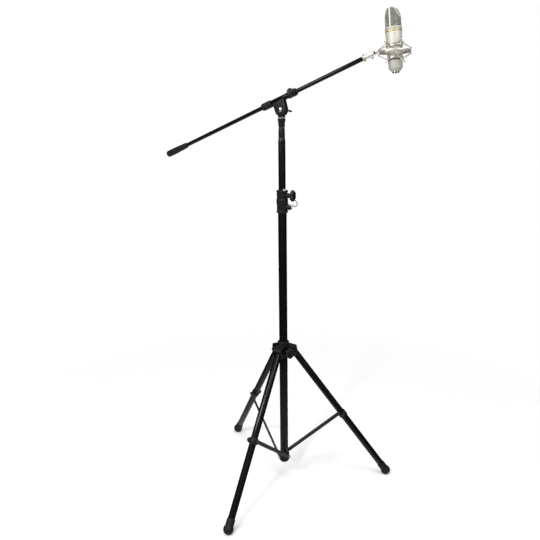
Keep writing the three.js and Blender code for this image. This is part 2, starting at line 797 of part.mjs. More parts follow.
// A rubber ball with a sleeve over the tube's end and a flat worn on its underside
function legFoot() {
  const tubeEnd = -(legLength - footBallRadius * footTubeSeatShare);
  const centre = -legLength;
  const sleeveTop = tubeEnd + footSleeveLength;
  const sleeve = rod(footSleeveDiameter / 2, sleeveTop - centre, partSides).translate([0, 0, centre]);
  const bulb = ball(footBallRadius, partSides).translate([0, 0, centre]);
  const socket = rod(legRadius + touchGap, legLength, partSides).translate([0, 0, tubeEnd - touchGap]);
  const ground = block(4 * footBallRadius, 4 * footBallRadius, footBallRadius);
  const splayDegrees = THREE.MathUtils.radToDeg(legSplay);
  const floor = ground
    .translate([0, 0, -2 * footBallRadius + footFlatDepth])
    .rotate([0, splayDegrees, 0])
    .translate([0, 0, centre]);
  return sleeve.add(bulb).subtract(socket).subtract(floor);
}

// A saddle round the leg with a flat lug on each side
function legClip() {
  const outer = legRadius + touchGap + clipWall;
  const half = clipLength / 2;
  let body = rod(outer, clipLength, partSides).translate([0, 0, -half]);
  body = body.add(crossRod(clipLugDiameter / 2, -clipFarLugReach, spreaderFlatOffset, 0, 0, partSides));
  const bore = rod(legRadius + touchGap, clipLength + 2 * cutOverrun, partSides);
  const reach = clipFarLugReach + cutOverrun;
  const hole = crossRod(boltShankDiameter / 2 + touchGap, -reach, reach);
  return body.subtract(bore.translate([0, 0, -half - cutOverrun])).subtract(hole);
}

// The screw that fixes the clip to the leg, from the lug on the side away from the brace
function clipScrew() {
  const tip = spreaderFlatOffset;
  const headFace = -clipFarLugReach - touchGap;
  const head = crossRod(boltHeadDiameter / 2, headFace - boltHeadHeight, headFace);
  return head.add(crossRod(boltShankDiameter / 2, headFace - boltHeadHeight, tip));
}

// A channel bar from the mast foot at X = 0 to the leg clip, its web on the far side,
// with the rivet of its outer eye
function brace() {
  const near = spreaderFlatOffset + touchGap;
  const far = near + braceThickness;
  const half = braceWidth / 2;
  const outline = new THREE.Shape();
  outline.moveTo(0, -half);
  outline.lineTo(braceLength, -half);
  outline.absarc(braceLength, 0, half, -Math.PI / 2, Math.PI / 2, false);
  outline.lineTo(0, half);
  outline.absarc(0, 0, half, Math.PI / 2, (3 * Math.PI) / 2, false);
  const pocketLength = braceLength - 2 * bracePocketInset;
  const pocket = block(pocketLength, bracePocketDepth + cutOverrun, braceWidth - 2 * braceFlange)
    .translate([braceLength / 2, near + (bracePocketDepth - cutOverrun) / 2, braceFlange - half]);
  const eye = crossRod(boltShankDiameter / 2 + touchGap, near - cutOverrun, far + cutOverrun);
  const rivet = crossRod(boltHeadDiameter / 2, far - cutOverrun / 2, far + boltHeadHeight, braceLength, 0);
  return uprightPlate(outline, near, far, 6).subtract(pocket).subtract(eye).add(rivet);
}

// Upper mast

function upperTube() {
  const bottom = upperTubeTopHeight - upperTubeLength;
  return tube(upperTubeRadius, upperTubeRadius - tubeWall, bottom, upperTubeTopHeight);
}

// The chamfered cap on the upper tube, with its stud up through the sleeve
function tubeReducer() {
  const spigot = upperTubeRadius - tubeWall - touchGap;
  const seat = upperTubeTopHeight + touchGap;
  const studTop = coneBottomHeight + swivelConeHeight / 2;
  return turned([
    [0, seat - reducerSpigotLength],
    [spigot, seat - reducerSpigotLength],
    [spigot, seat],
    [upperTubeRadius, seat],
    [sleeveDiameter / 2, reducerTopHeight],
    [mastStudDiameter / 2, reducerTopHeight],
    [mastStudDiameter / 2, studTop],
    [0, studTop],
  ], tubeSides);
}

function baseSleeve() {
  const inner = mastStudDiameter / 2 + touchGap;
  const shoulder = sleeveBottomHeight + sleeveHeight;
  return turnedRing([
    [inner, sleeveBottomHeight],
    [sleeveDiameter / 2, sleeveBottomHeight],
    [sleeveDiameter / 2, shoulder],
    [grooveDiameter / 2, shoulder],
    [grooveDiameter / 2, shoulder + grooveHeight],
    [inner, shoulder + grooveHeight],
  ], tubeSides);
}

function swivelCone() {
  const inner = mastStudDiameter / 2 + touchGap;
  const middle = coneBottomHeight + swivelConeHeight / 2;
  const top = coneBottomHeight + swivelConeHeight;
  return turned([
    [0, middle + touchGap],
    [inner, middle + touchGap],
    [inner, coneBottomHeight],
    [swivelConeBottomDiameter / 2, coneBottomHeight],
    [swivelConeBottomDiameter / 2, top - swivelConeLipHeight - swivelConeTaperHeight],
    [swivelConeTopDiameter / 2, top - swivelConeLipHeight],
    [swivelConeTopDiameter / 2, top],
    [0, top],
  ], tubeSides);
}

// Swivel

function swivelWasher() {
  const top = washerBottomHeight + swivelWasherHeight;
  return turned([
    [0, washerBottomHeight],
    [swivelWasherDiameter / 2, washerBottomHeight],
    [swivelWasherDiameter / 2, top],
    [0, top],
  ], tubeSides);
}

// The round base and the upright tongue between the bracket's cheeks, about the tilt pivot
function swivelKnuckle() {
  const bottom = -pivotAboveWasher;
  const half = tongueThickness / 2;
  const baseRadius = knuckleBaseDiameter / 2;
  const base = rod(baseRadius, knuckleBaseHeight, tubeSides).translate([0, 0, bottom]);
  const disc = crossRod(tongueRadius, -half, half, 0, 0, partSides);
  const neckWidth = 2 * Math.sqrt(baseRadius ** 2 - tongueThickness ** 2);
  const neck = block(neckWidth, tongueThickness, pivotAboveWasher).translate([0, 0, bottom]);
  const reach = half + cutOverrun;
  const hole = crossRod(pivotBoltDiameter / 2 + touchGap, -reach, reach);
  return base.add(disc).add(neck).subtract(hole);
}

// Boom bracket: a fork about the tilt pivot, saddled under the clamp tube
function boomBracket() {
  const half = bracketThickness / 2;
  const outline = new THREE.Shape();
  outline.moveTo(-bracketRadius, 0);
  outline.absarc(0, 0, bracketRadius, Math.PI, 2 * Math.PI, false);
  outline.lineTo(bracketFront, boomAbovePivot);
  outline.lineTo(-bracketRear, boomAbovePivot);
  const length = bracketFront + bracketRear;
  const saddle = outward(rod(clampTubeDiameter / 2 + touchGap, 2 * length, partSides));
  const reach = half + cutOverrun;
  const hole = crossRod(pivotBoltDiameter / 2 + touchGap, -reach, reach);
  const slotWidth = tongueThickness + 2 * touchGap;
  const slotDepth = bracketSlotHeight + bracketRadius + cutOverrun;
  const slot = block(2 * length, slotWidth, slotDepth).translate([0, 0, bracketSlotHeight - slotDepth]);
  const body = uprightPlate(outline, -half, half, 6);
  return body.subtract(saddle.translate([-length, 0, boomAbovePivot])).subtract(hole).subtract(slot);
}

function clampTube() {
  return outward(tube(clampTubeDiameter / 2, boomRadius + touchGap, -clampTubeRear, clampTubeFront));
}

// A boom clutch over one end of the clamp tube, its closed end away from the bracket
function boomClutch(length, direction) {
  const outer = boomClutchDiameter / 2;
  const clampBore = clampTubeDiameter / 2 + touchGap;
  const boomBore = boomRadius + touchGap;
  return turnedRing([
    [clampBore, 0],
    [outer - boomClutchLip, 0],
    [outer, boomClutchLip],
    [outer, length - boomClutchChamfer],
    [outer - boomClutchLip, length],
    [boomBore, length],
    [boomBore, boomClutchOverlap + touchGap],
    [clampBore, boomClutchOverlap + touchGap],
  ], partSides).rotate([0, 90 * direction, 0]);
}

function rearClutch() {
  return boomClutch(rearClutchLength, -1).translate([boomClutchOverlap - clampTubeRear, 0, 0]);
}

function frontClutch() {
  const start = clampTubeFront - boomClutchOverlap;
  const boss = crossRod(boomKnobBossDiameter / 2, -boomKnobBossReach, 0, boomKnobPlace, 0, partSides)
    .rotate([-boomKnobTurn, 0, 0]);
  const bore = outward(rod(boomRadius + touchGap, boomKnobPlace + frontClutchLength, partSides));
  const hole = crossRod(boomScrewDiameter / 2 + touchGap, -2 * boomKnobBossReach, 0, boomKnobPlace)
    .rotate([-boomKnobTurn, 0, 0]);
  const tubeRoom = outward(rod(clampTubeDiameter / 2 + touchGap, boomClutchOverlap + touchGap, partSides));
  const body = boomClutch(frontClutchLength, 1).translate([start, 0, 0]).add(boss);
  return body.subtract(bore).subtract(hole).subtract(tubeRoom.translate([start, 0, 0]));
}

// A domed bolt through the fork and the tongue; the tee handle runs on its far end
function pivotBolt() {
  const near = -bracketThickness / 2 - touchGap;
  const end = bracketThickness / 2 + tiltScrewHubLength / 2;
  const radius = pivotDomeDiameter / 2;
  const dome = turned([
    [0, 0],
    [radius, 0],
    [radius, pivotDomeHeight / 3],
    [radius * Math.cos(Math.PI / 6), (pivotDomeHeight * 2) / 3],
    [radius / 2, pivotDomeHeight],
    [0, pivotDomeHeight],
  ]);
  const shank = crossRod(pivotBoltDiameter / 2, near - pivotDomeHeight / 2, end);
  return shank.add(dome.rotate([90, 0, 0]).translate([0, near, 0]));
}

// The tee handle on the far side, which squeezes the fork
function tiltHandle() {
  const seat = bracketThickness / 2 + touchGap;
  const end = seat + tiltScrewHubLength;
  const barAt = end - tiltBarDiameter;
  const hub = crossRod(tiltScrewHubDiameter / 2, seat, end, 0, 0, partSides);
  const half = tiltBarLength / 2;
  const bar = outward(rod(tiltBarDiameter / 2, tiltBarLength, smallSides)).translate([-half, barAt, 0]);
  const tip = ball(tiltBarDiameter * tiltTipShare, smallSides);
  const room = crossRod(pivotBoltDiameter / 2 + touchGap, seat - cutOverrun, seat + tiltScrewHubLength / 2);
  let body = hub.add(bar);
  for (const side of [-1, 1]) {
    body = body.add(tip.translate([side * half, barAt, 0]));
  }
  return body.subtract(room);
}

function boomKnob() {
  const tip = boomRadius + touchGap;
  const seat = boomKnobBossReach + touchGap;
  const edge = boomKnobThickness / 3;
  const radius = boomKnobDiameter / 2;
  const cap = turned([
    [0, seat],
    [radius - edge / 2, seat],
    [radius, seat + edge / 2],
    [radius, seat + boomKnobThickness - edge],
    [radius - edge, seat + boomKnobThickness],
    [0, seat + boomKnobThickness],
  ], partSides);
  return rod(boomScrewDiameter / 2, seat + edge - tip, smallSides).translate([0, 0, tip]).add(cap);
}

// Boom, along +X from the bracket's frame

function boomTube() {
  const rear = -(boomRearReach - gripEndWall - touchGap);
  return outward(tube(boomRadius, boomRadius - boomWall, rear, boomFrontReach, partSides));
}

function counterweightGrip() {
  const rear = -boomRearReach;
  const front = rear + gripLength;
  const shoulder = rear + gripLength * gripShoulderShare;
  const radius = gripDiameter / 2;
  const edge = radius / 3;
  const bore = boomRadius + touchGap;
  return outward(turned([
    [0, rear],
    [radius - edge, rear],
    [radius, rear + edge],
    [radius, shoulder],
    [gripFrontDiameter / 2, front - edge],
    [gripFrontDiameter / 2 - edge / 2, front],
    [bore, front],
    [bore, rear + gripEndWall],
    [0, rear + gripEndWall],
  ], partSides));
}

function endFlange() {
  const seat = boomFrontReach + touchGap;
  const inner = adapterStudDiameter / 2 + touchGap;
  return outward(tube(flangeDiameter / 2, inner, seat, seat + flangeThickness));
}

// The nickel adapter: stud, barrel, neck and the fork with its pin
function adapterFork() {
  const seat = flangeFrontReach + touchGap;
  const neckEnd = barrelFrontReach + adapterNeckLength;
  const edge = adapterBarrelLength / 12;
  const body = outward(turned([
    [0, seat - adapterStudLength],
    [adapterStudDiameter / 2, seat - adapterStudLength],
    [adapterStudDiameter / 2, seat],
    [adapterBarrelDiameter / 2, seat],
    [adapterBarrelDiameter / 2, barrelFrontReach - edge],
    [adapterNeckDiameter / 2, barrelFrontReach],
    [adapterNeckDiameter / 2, neckEnd],
    [0, neckEnd],
  ], partSides));
  const slotHalf = jointEyeThickness / 2 + touchGap;
  const forkHalf = slotHalf + jointCheekThickness;
  const cheek = crossRod(jointEyeRadius, -forkHalf, forkHalf, tiltJointReach, 0, partSides);
  const bridgeLength = tiltJointReach - neckEnd + cutOverrun;
  const bridge = block(bridgeLength, 2 * forkHalf, 2 * jointEyeRadius)
    .translate([tiltJointReach - bridgeLength / 2, 0, -jointEyeRadius]);
  const slotRadius = jointEyeRadius + 2 * touchGap;
  const slotFront = 2 * jointEyeRadius;
  const slot = crossRod(slotRadius, -slotHalf, slotHalf, tiltJointReach, 0, partSides)
    .add(block(slotFront, 2 * slotHalf, 2 * slotRadius)
      .translate([tiltJointReach + slotFront / 2, 0, -slotRadius]));
  const pin = crossRod(jointPinDiameter / 2, -forkHalf, forkHalf, tiltJointReach, 0);
  const screw = rod(thumbScrewShankDiameter / 2 + touchGap, 2 * adapterNeckDiameter, smallSides)
    .translate([thumbScrewPlace, 0, -2 * adapterNeckDiameter]);
  return body.add(cheek.add(bridge).subtract(slot)).add(pin).subtract(screw);
}

// The small screw under the adapter, along -Z from the boom axis
function thumbScrew() {
  const seat = adapterNeckDiameter / 2 + thumbScrewStandOff;
  const head = rod(thumbScrewDiameter / 2, thumbScrewHeadLength, smallSides);
  const shank = rod(thumbScrewShankDiameter / 2, seat + thumbScrewHeadLength / 2 - touchGap, smallSides);
  return shank.translate([0, 0, touchGap]).add(head.translate([0, 0, seat])).rotate([180, 0, 0]);
}

// Shock mount, about the centre of its outer ring

function hookAzimuth(index) {
  return hookPhase + (360 * index) / hookCount;
}

function lugAzimuth(index) {
  return hookAzimuth(index) + 180 / hookCount;
}

function outerRing() {
  const inner = ringRadius - ringThickness;
  const wireRadius = hookWireDiameter / 2;
  const lugRadius = ringRadius - ringThickness / 2;
  let body = tube(ringRadius, inner, -ringHeight / 2, ringHeight / 2, tubeSides);
  for (let i = 0; i < hookCount; i += 1) {
    for (const side of [-1, 1]) {
      const foot = around(lugRadius, lugAzimuth(i), (side * ringHeight) / 4);
      const head = around(lugRadius, lugAzimuth(i), side * (ringHeight / 2 + lugHeight));
      const tip = ball(lugBallDiameter / 2, 2 + cordSides).translate(head.toArray());
      body = body.add(strut(foot, head, wireRadius)).add(tip);
    }
  }
  const half = jointEyeThickness / 2;
  const eye = crossRod(jointEyeRadius, -half, half, -jointFromRing, jointAboveRing, partSides);
  const webStart = -jointFromRing + jointEyeRadius * jointWebStartShare;
  const webEnd = -ringRadius + ringThickness / 2;
  const web = block(webEnd - webStart, jointEyeThickness, jointAboveRing + ringHeight / 2)
    .translate([(webStart + webEnd) / 2, 0, -ringHeight / 2]);
  const reach = half + cutOverrun;
  const hole = crossRod(jointPinDiameter / 2 + touchGap, -reach, reach, -jointFromRing, jointAboveRing);
  return body.add(eye).add(web).subtract(hole);
}

// The mic body's radius at a height
function micRadiusAt(height) {
  const share = (height - micTaperBottomHeight) / (micShoulderHeight - micTaperBottomHeight);
  return (micBottomDiameter + (micTopDiameter - micBottomDiameter) * share) / 2;
}

// The cradle sleeve follows the mic's taper
function cradleRing(bottom, top) {
  const low = micRadiusAt(bottom) + touchGap;
  const high = micRadiusAt(top) + touchGap;
  return turnedRing([
    [low, bottom],
    [low + cradleWall, bottom],
    [high + cradleWall, top],
    [high, top],
  ], tubeSides);
}

// Where the hooks of one side leave the cradle sleeve
function hookRoot(side) {
  const edge = side > 0 ? cradleTopHeight : cradleBottomHeight;
  const height = edge - side * hookWireDiameter;
  return { height, radius: micRadiusAt(height) + touchGap + hookWireDiameter / 2 };
}

function innerCradle() {
  const sleeve = cradleRing(cradleBottomHeight, cradleTopHeight);
  const wide = 4 * micTopDiameter;
  let straps = cradleRing(cradleBottomHeight, cradleBottomHeight + cradleBandHeight)
    .add(cradleRing(cradleTopHeight - cradleBandHeight, cradleTopHeight));
  for (let i = 0; i < hookCount; i += 1) {
    const strap = block(wide, cradleStrapWidth, 2 * wide).translate([wide / 2, 0, -wide]);
    straps = straps.add(strap.rotate([0, 0, hookAzimuth(i)]).intersect(sleeve));
  }
  let body = straps;
  for (let i = 0; i < hookCount; i += 1) {
    for (const side of [-1, 1]) {
      const root = hookRoot(side);
      const start = around(root.radius, hookAzimuth(i), root.height);
      const tip = around(hookRadius, hookAzimuth(i), side * hookHeight);
      const knob = ball(hookBallDiameter / 2, 2 + cordSides).translate(tip.toArray());
      body = body.add(strut(start, tip, hookWireDiameter / 2)).add(knob);
    }
  }
  const clampHeight = cradleTopHeight - cradleBandHeight / 2 - cradleEarHeight / 2;
  const clampRadius = micRadiusAt(clampHeight) + touchGap + cradleWall / 2;
  for (const side of [-1, 1]) {
    const ear = block(cradleEarReach, cradleEarThickness, cradleEarHeight)
      .translate([clampRadius + cradleEarReach / 2, side * cradleEarThickness, clampHeight]);
    body = body.add(ear.rotate([0, 0, cradleClampAzimuth]));
  }
  const half = cradleScrewLength / 2;
  const screw = crossRod(cradleScrewDiameter / 2, -half, half, clampRadius + cradleEarReach / 2)
    .translate([0, 0, clampHeight + cradleEarHeight / 2]);
  return body.add(screw.rotate([0, 0, cradleClampAzimuth]));
}

// A place beside a post: shifted sideways by an arc's chord at a radius and an azimuth
function beside(radius, azimuth, sideways, height) {
  return around(Math.hypot(radius, sideways), azimuth, height)
    .applyAxisAngle(new THREE.Vector3(0, 0, 1), Math.atan2(sideways, radius));
}

// An elastic that zigzags between the cradle's hooks and the ring's lugs
function elasticCord(side) {
  const clear = (hookWireDiameter + cordDiameter) / 2 + touchGap;
  const root = hookRoot(side);
  const lean = Math.atan2(hookRadius - root.radius, hookHeight - Math.abs(root.height));
  const hookDrop = hookBallDiameter;
  const hookAt = hookRadius - hookDrop * Math.tan(lean) - clear / Math.cos(lean);
  const hookLevel = side * (hookHeight - hookDrop);
  const lugAt = ringRadius - ringThickness / 2 + clear;
  const lugLevel = side * (ringHeight / 2 + lugHeight / 2);
  const sideways = new THREE.Vector3(0, 1, 0);
  const swing = -THREE.MathUtils.degToRad(suspendedLean);
  const points = [];
  for (let i = 0; i < hookCount; i += 1) {
    for (const end of [-1, 1]) {
      const hooked = beside(hookAt, hookAzimuth(i), end * clear, hookLevel);
      points.push(hooked.applyAxisAngle(sideways, swing));
    }
    for (const end of [-1, 1]) {
      points.push(beside(lugAt, lugAzimuth(i), end * clear, lugLevel));
    }
  }
  let cord = null;
  points.forEach((point, i) => {
    const next = points[(i + 1) % points.length];
    const overlap = new THREE.Vector3().subVectors(next, point).setLength(cordDiameter / 3);
    const run = strut(point.clone().sub(overlap), next.clone().add(overlap), cordDiameter / 2, elasticSides);
    cord = cord ? cord.add(run) : run;
  });
  return cord;
}

// Microphone

function micBody() {
  const shoulder = micShoulderHeight;
  const grooveTop = goldRingHeight + goldRingWidth / 2 + touchGap;
  const grooveBottom = goldRingHeight - goldRingWidth / 2 - touchGap;
  const shell = turnedRing([
    [micRadiusAt(micTaperBottomHeight) - micWall, micTaperBottomHeight],
    [micRadiusAt(micTaperBottomHeight), micTaperBottomHeight],
    [micRadiusAt(grooveBottom), grooveBottom],
    [micRadiusAt(grooveBottom) - goldRingGroove, grooveBottom],
    [micRadiusAt(grooveBottom) - goldRingGroove, grooveTop],
    [micRadiusAt(grooveTop), grooveTop],
    [micRadiusAt(shoulder), shoulder],
    [micRadiusAt(shoulder) - 2 * micWall, shoulder],
    [micRadiusAt(shoulder) - 2 * micWall, shoulder - micWall],
    [micRadiusAt(grooveBottom) - 2 * micWall, grooveBottom - 2 * micWall],
  ], tubeSides);
  const deck = rod(micTopDiameter / 2 - micWall - micWall / 2, micFloorThickness, tubeSides);
  const postHeight = headRingHeight + grilleHeight * capsuleCentreShare;
  const post = rod(capsulePostDiameter / 2, postHeight + micFloorThickness / 2, smallSides)
    .translate([0, 0, shoulder - micFloorThickness / 2]);
  const capsule = outward(rod(capsuleDiameter / 2, capsuleThickness, partSides))
    .translate([-capsuleThickness / 2, 0, shoulder + postHeight]);
  return shell.add(deck.translate([0, 0, shoulder - micFloorThickness])).add(post).add(capsule);
}

function goldRing() {
  const half = goldRingWidth / 2;
  const inner = micRadiusAt(goldRingHeight) - goldRingGroove + 2 * touchGap;
  const outer = micRadiusAt(goldRingHeight) + goldRingGroove / 4;
  return tube(outer, inner, goldRingHeight - half, goldRingHeight + half);
}

// The wedge-shaped head: a domed round body cut by two faces that lean to a ridge along Y
function wedgeHead(radius, height, base) {
  const straight = height * grilleStraightShare;
  const ridge = radius * grilleRidgeShare;
  const crown = radius * grilleCrownShare;
  const dome = new THREE.Shape();
  dome.moveTo(0, 0);
  dome.lineTo(radius, 0);
  dome.lineTo(radius, height - crown);
  dome.absarc(radius - crown, height - crown, crown, 0, Math.PI / 2, false);
  dome.lineTo(0, height);
  const profile = dome.extractPoints(domeSteps).shape.map((point) => [point.x, point.y]);
  const round = turned(profile, tubeSides);
  const wedge = new THREE.Shape();
  wedge.moveTo(-radius - cutOverrun, -cutOverrun);
  wedge.lineTo(radius + cutOverrun, -cutOverrun);
  wedge.lineTo(radius + cutOverrun, straight);
  wedge.lineTo(ridge + ridge / 2, height - ridge / 2);
  wedge.lineTo(ridge, height + cutOverrun);
  wedge.lineTo(-ridge, height + cutOverrun);
  wedge.lineTo(-ridge - ridge / 2, height - ridge / 2);
  wedge.lineTo(-radius - cutOverrun, straight);
  const slab = uprightPlate(wedge, -2 * radius, 2 * radius);
  return round.intersect(slab).translate([0, 0, base]);
}

function grilleBase() {
  return micShoulderHeight + touchGap + headRingHeight;
}

// The grille cup, open below, where the capsule stands in it
function micGrille() {
  const radius = micTopDiameter / 2 + headRingProud - ribThickness - touchGap;
  const base = grilleBase() + touchGap;
  const outer = wedgeHead(radius, grilleHeight, base);
  const hollow = wedgeHead(radius - grilleWall, grilleHeight - grilleWall, base);
  const mouth = rod(radius - grilleWall, 2 * cutOverrun, tubeSides).translate([0, 0, base - cutOverrun]);
  return outer.subtract(hollow).subtract(mouth);
}

// The ring under the grille and the rib that runs up one side, over the ridge and down
function micHeadFrame() {
  const outerRadius = micTopDiameter / 2 + headRingProud;
  const ringBottom = micShoulderHeight + touchGap;
  const ringTop = grilleBase();
  const bore = outerRadius - 2 * ribThickness - touchGap - grilleWall;
  const ring = tube(outerRadius, bore, ringBottom, ringTop);
  const outer = wedgeHead(outerRadius, grilleHeight + touchGap + ribThickness, ringTop);
  const innerRadius = outerRadius - ribThickness;
  const inner = wedgeHead(innerRadius, grilleHeight + 2 * touchGap, ringTop);
  const mouth = rod(innerRadius, 2 * cutOverrun, tubeSides).translate([0, 0, ringTop - cutOverrun]);
  const slab = block(ribWidth, 4 * outerRadius, 2 * grilleHeight).translate([0, 0, ringTop - touchGap]);
  const rib = outer.subtract(inner).subtract(mouth).intersect(slab);
  const footSlab = block(ribWidth, 4 * outerRadius, 2 * touchGap).translate([0, 0, ringTop - touchGap]);
  const foot = tube(outerRadius, innerRadius, ringTop - touchGap, ringTop + 2 * touchGap).intersect(footSlab);
  return ring.add(rib).add(foot);
}

function micBaseCap() {
  const top = micTaperBottomHeight - touchGap;
  const bottom = top - micCapHeight;
  const radius = micRadiusAt(micTaperBottomHeight);
  const spigot = radius - micWall - touchGap;
  return turned([
    [0, bottom],
    [micCapBottomDiameter / 2, bottom],
    [radius, top - micCapHeight / 4],
    [radius, top],
    [spigot, top],
    [spigot, top + micFloorThickness],
    [0, top + micFloorThickness],
  ], tubeSides);
}

// The outlet under the cap, with three contact pins inside
function xlrSocket() {
  const top = micTaperBottomHeight - touchGap - micCapHeight - touchGap;
  const bottom = top - xlrLength;
  const floor = top - xlrWall / 2;
  let body = turned([
    [0, floor],
    [xlrDiameter / 2 - xlrWall, floor],
    [xlrDiameter / 2 - xlrWall, bottom],
    [xlrDiameter / 2, bottom],
    [xlrDiameter / 2, top],
    [0, top],
  ], partSides);
  for (let i = 0; i < 3; i += 1) {
    const place = around(xlrPinCircleDiameter / 2, 120 * i, bottom + xlrWall / 4);
    const pin = rod(xlrPinDiameter / 2, xlrLength - xlrWall / 2, cordSides);
    body = body.add(pin.translate(place.toArray()));
  }
  return body;
}

// Assembly

const stand = new THREE.Group();

function addMastBase() {
  stand.add(piece('mast_end_plug', mastEndPlug(), 'rubber'));
  stand.add(piece('lower_tube', lowerTube(), 'blackPaint'));
  stand.add(piece('spreader_collar', spreaderCollar(), 'charcoalPlastic'));
  stand.add(piece('mast_clutch_housing', clutchHousing(), 'charcoalPlastic'));
  stand.add(piece('mast_clutch_bush', clutchBush(), 'bushPlastic'));
  const clutchFrame = turnedGroup(clutchAzimuth, 0, 0, pinHeight);
  clutchFrame.add(piece('pin_lanyard', pinLanyard(), 'cordBlack'));
  stand.add(clutchFrame);
}

function addMastKnob() {
  const frame = turnedGroup(clutchAzimuth, 0, 0, clutchKnobHeight);
  const knob = piece('mast_clutch_knob', clutchKnob(), 'knobPlastic');
  knob.rotation.y = Math.PI / 2;
  knob.position.x = lowerTubeRadius + touchGap;
  frame.add(knob);
  stand.add(frame);
}

function addSafetyPin() {
  const frame = turnedGroup(clutchAzimuth, 0, 0, pinHeight);
  const droop = THREE.MathUtils.degToRad(pinDroop);
  const rise = THREE.MathUtils.degToRad(pinRingRise);
  const pin = piece('safety_pin', safetyPin(), 'zinc');
  pin.rotation.y = Math.PI / 2 + droop;
  const ring = piece('safety_pin_ring', pinRing(), 'zinc');
  ring.rotation.y = -rise;
  const eyeX = pinEyeReach() * Math.cos(droop);
  const eyeZ = -pinEyeReach() * Math.sin(droop);
  ring.position.set(eyeX + pinRingRadius * Math.cos(rise), 0, eyeZ + pinRingRadius * Math.sin(rise));
  frame.add(pin, ring);
  stand.add(frame);
}

function addHub() {
  stand.add(piece('hub_casting', hubCasting(), 'charcoalPlastic'));
  const frame = turnedGroup(hubKnobAzimuth(), 0, 0, hubKnobHeight);
  const knob = piece('hub_lock_knob', hubKnob(), 'knobPlastic');
  knob.rotation.y = Math.PI / 2;
  knob.position.x = lowerTubeRadius + touchGap;
  frame.add(knob);
  stand.add(frame);
}

function addTripodSide(index) {
  const number = index + 1;
  const side = turnedGroup(legAzimuth(index));
  const leg = new THREE.Group();
  leg.position.set(legPivotRadius, 0, legPivotHeight);
  leg.rotation.y = -legSplay;
  const clip = piece(`leg_clip_${number}`, legClip(), 'charcoalPlastic');
  const screw = piece(`leg_clip_screw_${number}`, clipScrew(), 'zinc');
  clip.position.z = -clipDistance;
  screw.position.z = -clipDistance;
  leg.add(piece(`leg_tube_${number}`, legTube(), 'blackPaint'));
  leg.add(piece(`leg_foot_${number}`, legFoot(), 'rubber'));
  leg.add(clip, screw);
  const pivot = piece(`leg_pivot_bolt_${number}`, legPivotBolt(), 'zinc');
  pivot.position.set(legPivotRadius, 0, legPivotHeight);
  const bar = piece(`brace_${number}`, brace(), 'bracePaint');
  bar.position.z = braceBoltHeight;
  bar.rotation.y = -braceRise;
  const bolt = piece(`brace_bolt_${number}`, spreaderBolt(), 'zinc');
  bolt.position.z = braceBoltHeight;
  bolt.rotation.z = Math.PI / 2;
  side.add(leg, pivot, bar, bolt);
  stand.add(side);
}

function addUpperMast() {
  stand.add(piece('upper_tube', upperTube(), 'blackPaint'));
  stand.add(piece('tube_reducer', tubeReducer(), 'blackPaint'));
  stand.add(piece('base_sleeve', baseSleeve(), 'blackPaint'));
  stand.add(piece('swivel_cone', swivelCone(), 'charcoalPlastic'));
  stand.add(piece('swivel_washer', swivelWasher(), 'chrome'));
  const knuckle = piece('swivel_knuckle', swivelKnuckle(), 'charcoalPlastic');
  knuckle.position.z = tiltPivotHeight;
  stand.add(knuckle);
}

function addBoom() {
  const head = new THREE.Group();
  head.position.z = tiltPivotHeight;
  head.rotation.y = -THREE.MathUtils.degToRad(boomTilt);
  head.add(piece('boom_bracket', boomBracket(), 'charcoalPlastic'));
  head.add(piece('tilt_pivot_bolt', pivotBolt(), 'chrome'));
  const handle = piece('tilt_handle', tiltHandle(), 'knobPlastic');
  handle.rotation.y = THREE.MathUtils.degToRad(boomTilt - tiltBarTurn);
  head.add(handle);
  const boom = new THREE.Group();
  boom.position.z = boomAbovePivot;
  boom.add(piece('boom_clamp_tube', clampTube(), 'blackPaint'));
  boom.add(piece('boom_rear_clutch', rearClutch(), 'charcoalPlastic'));
  boom.add(piece('boom_front_clutch', frontClutch(), 'charcoalPlastic'));
  const knob = piece('boom_lock_knob', boomKnob(), 'knobPlastic');
  knob.position.x = boomKnobPlace;
  knob.rotation.x = THREE.MathUtils.degToRad(90 - boomKnobTurn);
  boom.add(knob);
  boom.add(piece('boom_tube', boomTube(), 'blackPaint'));
  boom.add(piece('counterweight_grip', counterweightGrip(), 'rubber'));
  boom.add(piece('adapter_flange', endFlange(), 'nickel'));
  boom.add(piece('adapter_fork', adapterFork(), 'nickel'));
  const screw = piece('adapter_thumb_screw', thumbScrew(), 'zinc');
  screw.position.x = thumbScrewPlace;
  boom.add(screw, shockMount());
  head.add(boom);
  stand.add(head);
}

function shockMount() {
  const mount = new THREE.Group();
  mount.position.x = tiltJointReach;
  mount.rotation.y = THREE.MathUtils.degToRad(boomTilt - ringLean);
  const centre = new THREE.Group();
  centre.position.set(jointFromRing, 0, -jointAboveRing);
  centre.add(piece('mount_outer_ring', outerRing(), 'nickel'));
  centre.add(piece('mount_elastic_upper', elasticCord(1), 'elastic'));
  centre.add(piece('mount_elastic_lower', elasticCord(-1), 'elastic'));
  const suspended = new THREE.Group();
  suspended.rotation.y = -THREE.MathUtils.degToRad(suspendedLean);
  suspended.add(piece('mount_inner_cradle', innerCradle(), 'nickel'));
  suspended.add(piece('mic_body', micBody(), 'micSatin'));
  suspended.add(piece('mic_gold_ring', goldRing(), 'gold'));
  suspended.add(piece('mic_head_frame', micHeadFrame(), 'micSatin'));
  suspended.add(piece('mic_grille', micGrille(), 'micMesh'));
  suspended.add(piece('mic_base_cap', micBaseCap(), 'micSatin'));
  suspended.add(piece('mic_xlr_socket', xlrSocket(), 'chrome'));
  centre.add(suspended);
  mount.add(centre);
  return mount;
}

addMastBase();
addMastKnob();
addSafetyPin();
addHub();
for (let index = 0; index < legCount; index += 1) {
  addTripodSide(index);
}
addUpperMast();
addBoom();

export default stand;
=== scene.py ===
"""A microphone boom stand in a plain pale studio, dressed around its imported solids.

Pieces are modelled in millimetres in the frame of what carries them and are then
brought into the part's own frame in metres: +Z up the mast, +X along the boom.
"""

